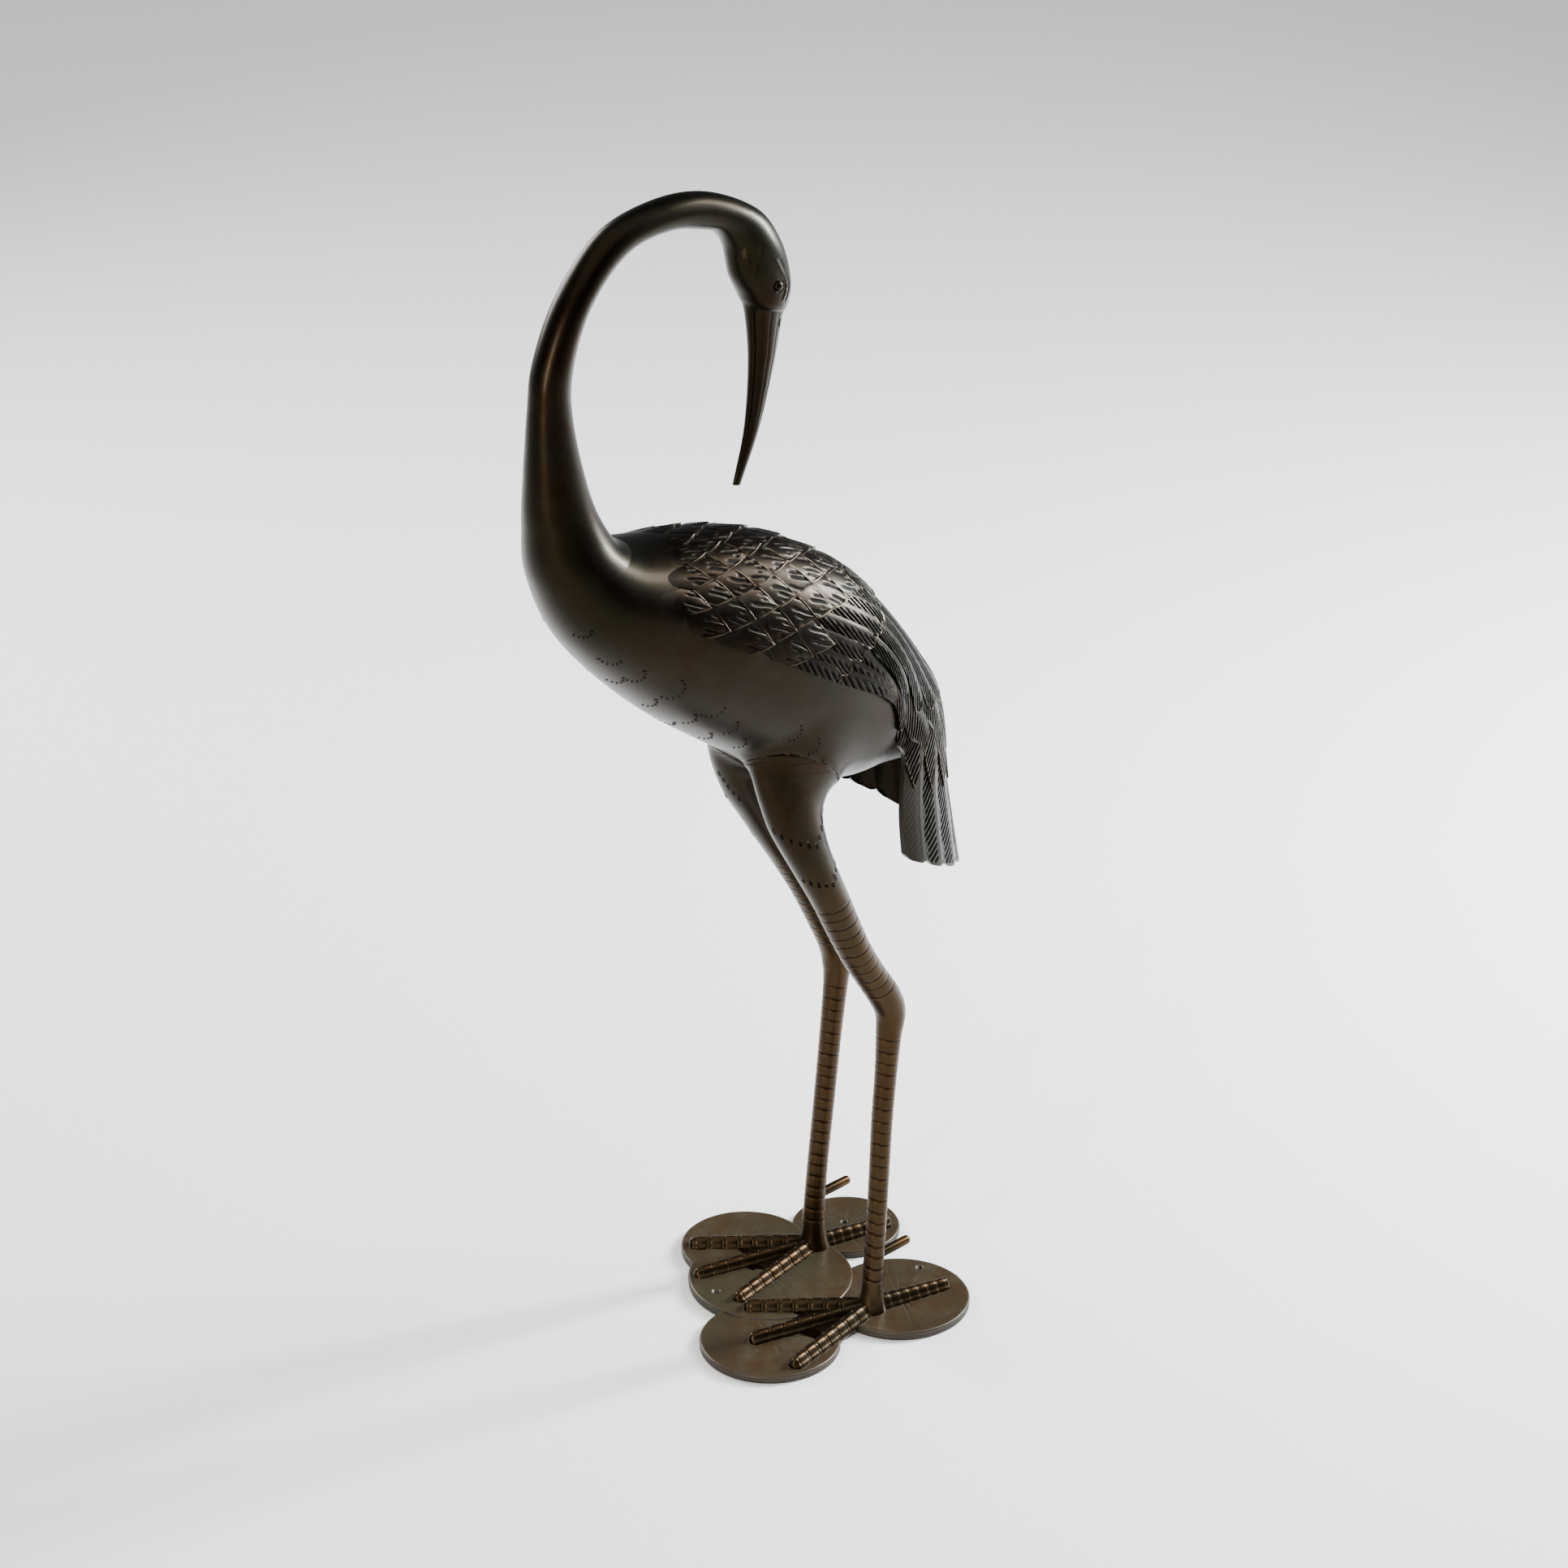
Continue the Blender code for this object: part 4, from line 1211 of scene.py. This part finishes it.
def near_leg_of(points, table):
    """Distance of points from a leg's surface, the way out from it, and the fillet there."""
    at = np.linspace(0, HIP_ROWS, 90)
    path, side, other, depth, width = leg_frames(table, at)
    nearest = np.linalg.norm(points[:, None] - path[None], axis=-1).argmin(axis=1)
    away = points - path[nearest]
    a = (away * side[nearest]).sum(axis=1)
    b = (away * other[nearest]).sum(axis=1)
    size = np.maximum(np.hypot(a, b), 1e-6)
    radius = 1 / np.hypot(a / size / depth[nearest], b / size / width[nearest])
    out = (a[:, None] * side[nearest] + b[:, None] * other[nearest]) / size[:, None]
    return size - radius, out, hip_fillet(a / size)


def hip_fillet(cosine):
    """Reach of the fillet between thigh and belly, widest behind the leg."""
    return HIP_FILLET[0] + (HIP_FILLET[1] - HIP_FILLET[0]) * (0.5 + 0.5 * cosine) ** 1.5


def union_offset(gap, reach, own, other):
    """Offset that rounds the corner between two skins, as a smooth union of them does."""
    share = 0.5 * (1 - np.clip(gap / reach, -1, 1))[..., None]
    way = own * (1 - share) + other * share
    size = np.maximum(np.linalg.norm(way, axis=-1, keepdims=True), 0.4)
    rise = np.clip(reach - np.abs(gap), 0, None) ** 2 / (4 * reach)
    return way / size**2 * rise[..., None]


def belly_points(at, around, lift=0.0):
    """Points on the body, moved out where a thigh runs into the belly."""
    points = body_points(at, around, lift)
    normals = (body_points(at, around, lift + 1.0) - points).reshape(-1, 3)
    shape = points.shape
    points = points.reshape(-1, 3)
    for table in (NEAR_LEG, FAR_LEG):
        close = (np.abs(points[:, 0] - table[2][0]) < HIP_SPAN) & (points[:, 2] < HIP_TOP)
        close &= points[:, 1] * np.sign(table[2][1]) > -HIP_PAST_MIDDLE
        if close.any():
            gap, out, reach = near_leg_of(points[close], table)
            points[close] += union_offset(gap, reach, normals[close], out)
    return points.reshape(shape)


def belly_skin():
    """Points and outward ways of the lower body, which the thighs are set against."""
    at, around = np.meshgrid(
        np.linspace(*BELLY_STATIONS, 80), np.radians(np.linspace(*BELLY_ANGLES, 90)), indexing="ij",
    )
    skin = body_points(at, around)
    return skin.reshape(-1, 3), (body_points(at, around, 1.0) - skin).reshape(-1, 3)


BELLY, BELLY_NORMALS = belly_skin()


def thigh_points(table, at, angles, lift=0.0):
    """Points on a leg, moved out where the thigh runs into the belly."""
    points = leg_points(table, at, angles, lift)
    outward = (leg_points(table, at, angles, lift + 1.0) - points).reshape(-1, 3)
    cosine = np.broadcast_to(np.cos(angles), points.shape[:-1]).reshape(-1)
    shape = points.shape
    points = points.reshape(-1, 3)
    for some in np.array_split(np.flatnonzero(points[:, 2] > HIP_FROM), 100):
        nearest = np.linalg.norm(points[some][:, None] - BELLY[None], axis=-1).argmin(axis=1)
        gap = ((points[some] - BELLY[nearest]) * BELLY_NORMALS[nearest]).sum(axis=1)
        reach = hip_fillet(cosine[some])
        points[some] += union_offset(gap, reach, outward[some], BELLY_NORMALS[nearest])
    return points.reshape(shape)


def leg_piece(name, table, material):
    """Leg as a swept tube, with a ring groove every ring pitch and a low swell between."""
    fine = np.linspace(0, len(table) - 1, 2400)
    path = smooth(table, fine)[:, :3]
    length = np.concatenate([[0], np.cumsum(np.linalg.norm(np.diff(path, axis=0), axis=1))])
    spots = np.arange(0, length[-1], LEG_ROW)
    at = np.interp(spots, length, fine)
    height = smooth(table, at)[:, 2]
    ringed = 1 - step(RINGS_FROM - 6, RINGS_FROM + 6, height)
    low, high = KNEE_BARE
    knee = step(low - 5, low, height) * (1 - step(high, high + 5, height))
    ringed *= (1 - knee) * step(ANKLE_BARE - 3, ANKLE_BARE + 3, height)
    angles = np.linspace(0, 2 * np.pi, LEG_COLUMNS, endpoint=False)[None, :]
    phase = ((length[-1] - spots) / RING_PITCH)[:, None] + 0.10 * np.cos(angles + 0.6)
    phase = phase + 0.06 * np.sin(2.3 * phase)
    front = 0.55 + 0.45 * np.cos(angles - math.radians(RING_FRONT))
    groove = bell(nearest_wave(phase) * RING_PITCH, 0.62) * ringed[:, None]
    hump = (0.5 - (phase - np.floor(phase))) * ringed[:, None]
    lift = 0.22 * hump - RING_DEPTH * groove * (0.4 + 0.6 * front)
    grid = thigh_points(table, at[:, None], angles, lift)
    warm = (1 - step(300, 430, height))[:, None]
    low_edge = step(0.55, 0.95, phase - np.floor(phase)) * ringed[:, None]
    wear_and_highlight = 0.34 * warm + 0.16 * low_edge
    shape = Shape()
    # Painted shade in the ring grooves, darker where they are deeper
    shape.tube(grid, np.clip(wear_and_highlight, 0, 1), np.clip(0.9 * groove * front, 0, 1))
    return piece(name, shape, material, 70)


def toe_into(shape, table, length, angle):
    """Knuckled toe on the pad: swelling segments with a pair of fine grooves between them."""
    turn = math.radians(angle + FOOT_TURN)
    ahead = np.array([-math.cos(turn), math.sin(turn), 0.0])
    aside = np.cross(ahead, UP)
    root = np.array([table[-1][0], table[-1][1], PAD_THICKNESS])
    marks = np.linspace(0, 1, int(length / TOE_ROW))
    place = (marks - KNUCKLES_FROM) / KNUCKLES_SPAN * KNUCKLES
    on = step(0.10, 0.16, marks) * (1 - step(0.93, 0.97, marks))
    crest = (1 - 4 * (place - np.floor(place) - 0.5) ** 2) * on
    gap = length * KNUCKLES_SPAN / KNUCKLES
    pair = bell((nearest_wave(place) - 0.10) * gap, 0.50) * on
    end = np.sqrt(np.clip(1 - ((marks - 0.955) / 0.045).clip(0, 1) ** 2, 0.02, 1))
    thick = (TOE_ROOT - TOE_TAPER * marks + TOE_SWELL * crest) * end
    angles = np.linspace(0, 2 * np.pi, TOE_COLUMNS, endpoint=False)
    c, s = np.cos(angles)[None, :, None], np.sin(angles)[None, :, None]
    wide = (TOE_HALF_WIDTH * thick - 0.55 * pair)[:, None, None]
    high = (TOE_HEIGHT * thick - 0.55 * pair)[:, None, None]
    path = root + ahead * (marks * length)[:, None]
    grid = path[:, None] + aside * wide * s + UP * high * c
    low = np.clip(1 - (grid[..., 2:] - PAD_THICKNESS) / TOE_SKIRT_HEIGHT, 0, 1)
    grid = grid + aside * np.sign(s) * TOE_SKIRT * low**2 * end[:, None, None]
    grid[..., 2] = np.maximum(grid[..., 2], PAD_THICKNESS * 0.4)
    top = np.clip(np.cos(angles), 0, 1)[None, :]
    wear_and_highlight = (0.10 + 0.60 * top**3) * ((0.5 + 0.5 * crest) * step(0.05, 0.6, marks))[:, None]
    # Painted shade in the pairs of fine grooves
    shape.tube(grid, wear_and_highlight, 0.6 * pair[:, None])


def web_into(shape, table):
    """Thin web between the front toes, a little wider than they are."""
    toes = sorted(FRONT_TOES, key=lambda toe: toe[1])
    degrees = np.linspace(toes[0][1] - 5, toes[-1][1] + 5, WEB_COLUMNS)
    reach = np.interp(degrees, [t[1] for t in toes], [WEB_REACH * t[0] for t in toes])
    reach = reach - WEB_SCALLOP * np.abs(np.sin(degrees / toes[-1][1] * np.pi))
    turn = np.radians(degrees + FOOT_TURN)
    shares = np.linspace(0.02, 1, 16)[:, None]
    x = table[-1][0] - np.cos(turn) * reach * shares
    y = table[-1][1] + np.sin(turn) * reach * shares
    z = PAD_THICKNESS + WEB_HEIGHT - WEB_DOME * shares**2
    top = np.stack(np.broadcast_arrays(x, y, z), axis=-1)
    shape.shell(top, top - UP * WEB_THICKNESS, 0.7 * step(0.90, 1.0, shares))


def spur_into(shape, table):
    """Small hind peg with a rounded end."""
    rows = np.array(table)[::-1]
    root = [np.interp(SPUR_HEIGHT, rows[:, 2], rows[:, k]) for k in range(2)]
    start = np.array([*root, SPUR_HEIGHT])
    ahead = np.array([1.0, 0.0, SPUR_RISE])
    marks = np.concatenate([np.linspace(0, 0.92, 12), 0.92 + 0.08 * np.sin(np.linspace(0.2, 1.55, 8))])
    end = np.sqrt(np.clip(1 - ((marks - 0.92) / 0.08).clip(0, 1) ** 2, 0.03, 1))
    radius = SPUR_RADIUS * (1 + 0.1 * np.sin(np.pi * marks)) * end
    turn = np.linspace(0, 2 * np.pi, 24, endpoint=False)
    side = np.array([0.0, 1.0, 0.0])
    rise = np.array([-SPUR_RISE, 0.0, 1.0])
    ring = side * np.cos(turn)[:, None] + rise * np.sin(turn)[:, None]
    grid = (start + ahead * (marks * SPUR_LENGTH)[:, None])[:, None] + ring * radius[:, None, None]
    shape.tube(grid, (0.15 + 0.85 * step(0.35, 0.9, marks))[:, None])


def feet_piece(name, table, material):
    """Three front toes, hind toe, web and hind peg under one leg."""
    shape = Shape()
    for length, angle in (*FRONT_TOES, BACK_TOE):
        toe_into(shape, table, length, angle)
    web_into(shape, table)
    spur_into(shape, table)
    return piece(name, shape, material, 70)


# Lily pads

def vein_relief(radius, turns, size, turn):
    """Fine bent veins running out from the middle of a pad, as depth from 0 to 1."""
    depth = np.zeros(radius.shape)
    for k in range(VEINS):
        start = math.radians(turn + 360 / VEINS * k + 9 * math.sin(3.1 * k + turn))
        bend = 0.22 * math.sin(1.7 * k + turn)
        line = start + bend * (radius / size) ** 2
        reach = 0.80 + 0.14 * math.sin(2.3 * k)
        gap = np.angle(np.exp(1j * (turns - line)))
        on = step(0.14, 0.22, radius / size) * (1 - step(reach - 0.08, reach, radius / size))
        depth = np.maximum(depth, bell(gap * radius, 0.75) * on)
    return depth


def pad_piece(number, x, y, size, level, turn, holes, material):
    """Lily pad: a gently domed disc with a lip, an undercut edge and engraved veins."""
    top = PAD_THICKNESS - PAD_STEP * (2 - level)
    turns = np.linspace(0, 2 * np.pi, PAD_COLUMNS, endpoint=False)
    inner = np.linspace(0.01, 0.955, PAD_RINGS) * size
    radius, around = np.meshgrid(inner, turns, indexing="ij")
    veins = vein_relief(radius, around, size, turn)
    height = top - 0.35 * veins + 0.25 * np.sin(3 * around + turn) * (radius / size) ** 2 - 0.3
    height += 0.3 * step(0.90, 0.95, radius / size)
    dip = np.zeros(radius.shape)
    px = x + radius * np.cos(around)
    py = y + radius * np.sin(around)
    for hole_x, hole_y in holes:
        near = np.hypot(px - hole_x, py - hole_y)
        dip = np.maximum(dip, 1 - step(SCREW_HOLE / 2 - 0.7, SCREW_HOLE / 2 + 0.5, near))
    height -= dip * HOLE_DEPTH
    face = np.stack([px, py, height], axis=-1)
    share, drop, worn_and_highlit = np.array([*PAD_EDGE, (0.985, top, 0.0)]).T[..., None]
    rings = np.stack(np.broadcast_arrays(
        x + size * share * np.cos(turns), y + size * share * np.sin(turns), top - drop,
    ), axis=-1)
    grid = np.concatenate([face, rings])
    shape = Shape()
    rubbed_and_highlit = np.concatenate([0.25 * step(0.6, 1, radius / size), 0.30 * worn_and_highlit + 0 * rings[..., 0]])
    # Painted shade in the veins, the peg holes and down the undercut edge
    dark = np.concatenate([np.clip(0.35 * veins + dip, 0, 1), np.full(rings.shape[:2], 0.45)])
    dark[PAD_RINGS] = 0.0
    shape.tube(grid, rubbed_and_highlit, dark)
    return piece(f"lily_pad_{number}", shape, material, 70)


def pads(material):
    """The lily pads, each with the peg holes that lie inside its edge."""
    for number, (x, y, size, level, turn) in enumerate(PADS, 1):
        holes = [h for h in SCREW_HOLES if math.hypot(h[0] - x, h[1] - y) < size - SCREW_HOLE]
        pad_piece(number, x, y, size, level, turn, holes, material)


# Stage

FLOOR_REACH = 14.0
ROOM_COLOUR = (0.93, 0.96, 1.0, 1)
ROOM_GLOW = 0.12
OVERHEAD_POWER = 1.9
OVERHEAD_SPREAD = 75
OVERHEAD_LEAN = (14, -10, 0)
# Place, width and height, watts, colour and the height that it faces
SOFTBOXES = {
    "right_softbox": ((2.3, -0.55, 1.30), (0.32, 0.85), 210, (0.94, 0.98, 1.0), 0.7),
    "high_softbox": ((2.1, -1.0, 2.45), (0.8, 0.8), 70, (0.96, 0.99, 1.0), 0.7),
    "left_softbox": ((-2.4, -0.95, 1.1), (0.25, 1.2), 48, (1.0, 0.95, 0.88), 0.7),
    "back_softbox": ((-0.3, 2.4, 1.5), (1.6, 1.2), 80, (1.0, 0.98, 0.95), 0.6),
}


def floor_paper():
    """Plain matt white."""
    paint = Paint("floor_paper")
    paint.set(base_color=(0.88, 0.88, 0.875, 1), roughness=0.9)
    return paint.material


def stage():
    """Pale floor that runs out to the horizon."""
    mesh = bpy.data.meshes.new("floor")
    corners = ((-1, -1), (1, -1), (1, 1), (-1, 1))
    mesh.from_pydata([(x * FLOOR_REACH, y * FLOOR_REACH, 0) for x, y in corners], [], [(0, 1, 2, 3)])
    mesh.materials.append(floor_paper())
    in_scene("floor", mesh)


def aim(made, place, way):
    """Sets a light or the camera at a place, facing the given way."""
    made.location = place
    made.rotation_mode = "QUATERNION"
    made.rotation_quaternion = way.to_track_quat("-Z", "Y")


def softbox(name, place, size, power, colour, height):
    """Lit rectangle that faces a height on the statue's middle line."""
    light = bpy.data.lights.new(name, "AREA")
    light.shape = "RECTANGLE"
    light.size, light.size_y = size
    light.energy = power
    light.color = colour
    aim(in_scene(name, light), place, Vector((0, 0, height)) - Vector(place))


def lights():
    """Dim room, a wide soft light from above and tall softboxes before and behind."""
    world = bpy.data.worlds.new("studio")
    world.use_nodes = True
    glow = world.node_tree.nodes["Background"].inputs
    glow["Color"].default_value = ROOM_COLOUR
    glow["Strength"].default_value = ROOM_GLOW
    bpy.context.scene.world = world
    overhead = bpy.data.lights.new("overhead", "SUN")
    overhead.energy = OVERHEAD_POWER
    overhead.angle = math.radians(OVERHEAD_SPREAD)
    made = in_scene("overhead", overhead)
    made.rotation_euler = [math.radians(lean) for lean in OVERHEAD_LEAN]
    for name, values in SOFTBOXES.items():
        softbox(name, *values)


def camera():
    """The camera that the photograph's outline fits."""
    turn, pitch = math.radians(CAMERA_AZIMUTH), math.radians(CAMERA_PITCH)
    back = Vector((
        -math.sin(turn) * math.cos(pitch), -math.cos(turn) * math.cos(pitch), math.sin(pitch),
    ))
    data = bpy.data.cameras.new("camera")
    data.sensor_width = SENSOR
    data.lens = FOCAL_PIXELS / IMAGE_SIZE * SENSOR
    data.clip_end = CAMERA_REACH
    made = in_scene("camera", data)
    aim(made, CAMERA_PLACE, -back)
    bpy.context.scene.camera = made


def main():
    """Camera, light and floor, then the statue from its head down."""
    camera()
    lights()
    stage()
    skin = patina("smooth_bronze", 1.15, green=0.45, copper=0.6)
    feathers = patina("feather_bronze", 0.9, green=0.35, copper=0.6, rubbed_and_highlit=TAN)
    tail = patina("tail_bronze", 0.7, green=0.30, copper=0.35, rubbed_and_highlit=TAN)
    warm = patina("leg_bronze", 1.25, green=0.40, copper=0.5, low=3.0)
    leaves = patina("leaf_bronze", 4.6, green=0.5, copper=0.6, metal=0.35)
    body_piece(skin)
    eyes_piece(skin)
    down_piece(feathers)
    scales_piece(feathers)
    tiers_pieces(feathers)
    dashes_piece(skin)
    tail_piece(tail)
    leg_piece("near_leg", NEAR_LEG, warm)
    leg_piece("far_leg", FAR_LEG, warm)
    feet_piece("near_foot", NEAR_LEG, warm)
    feet_piece("far_foot", FAR_LEG, warm)
    pads(leaves)


main()
bpy.context.view_layer.update()
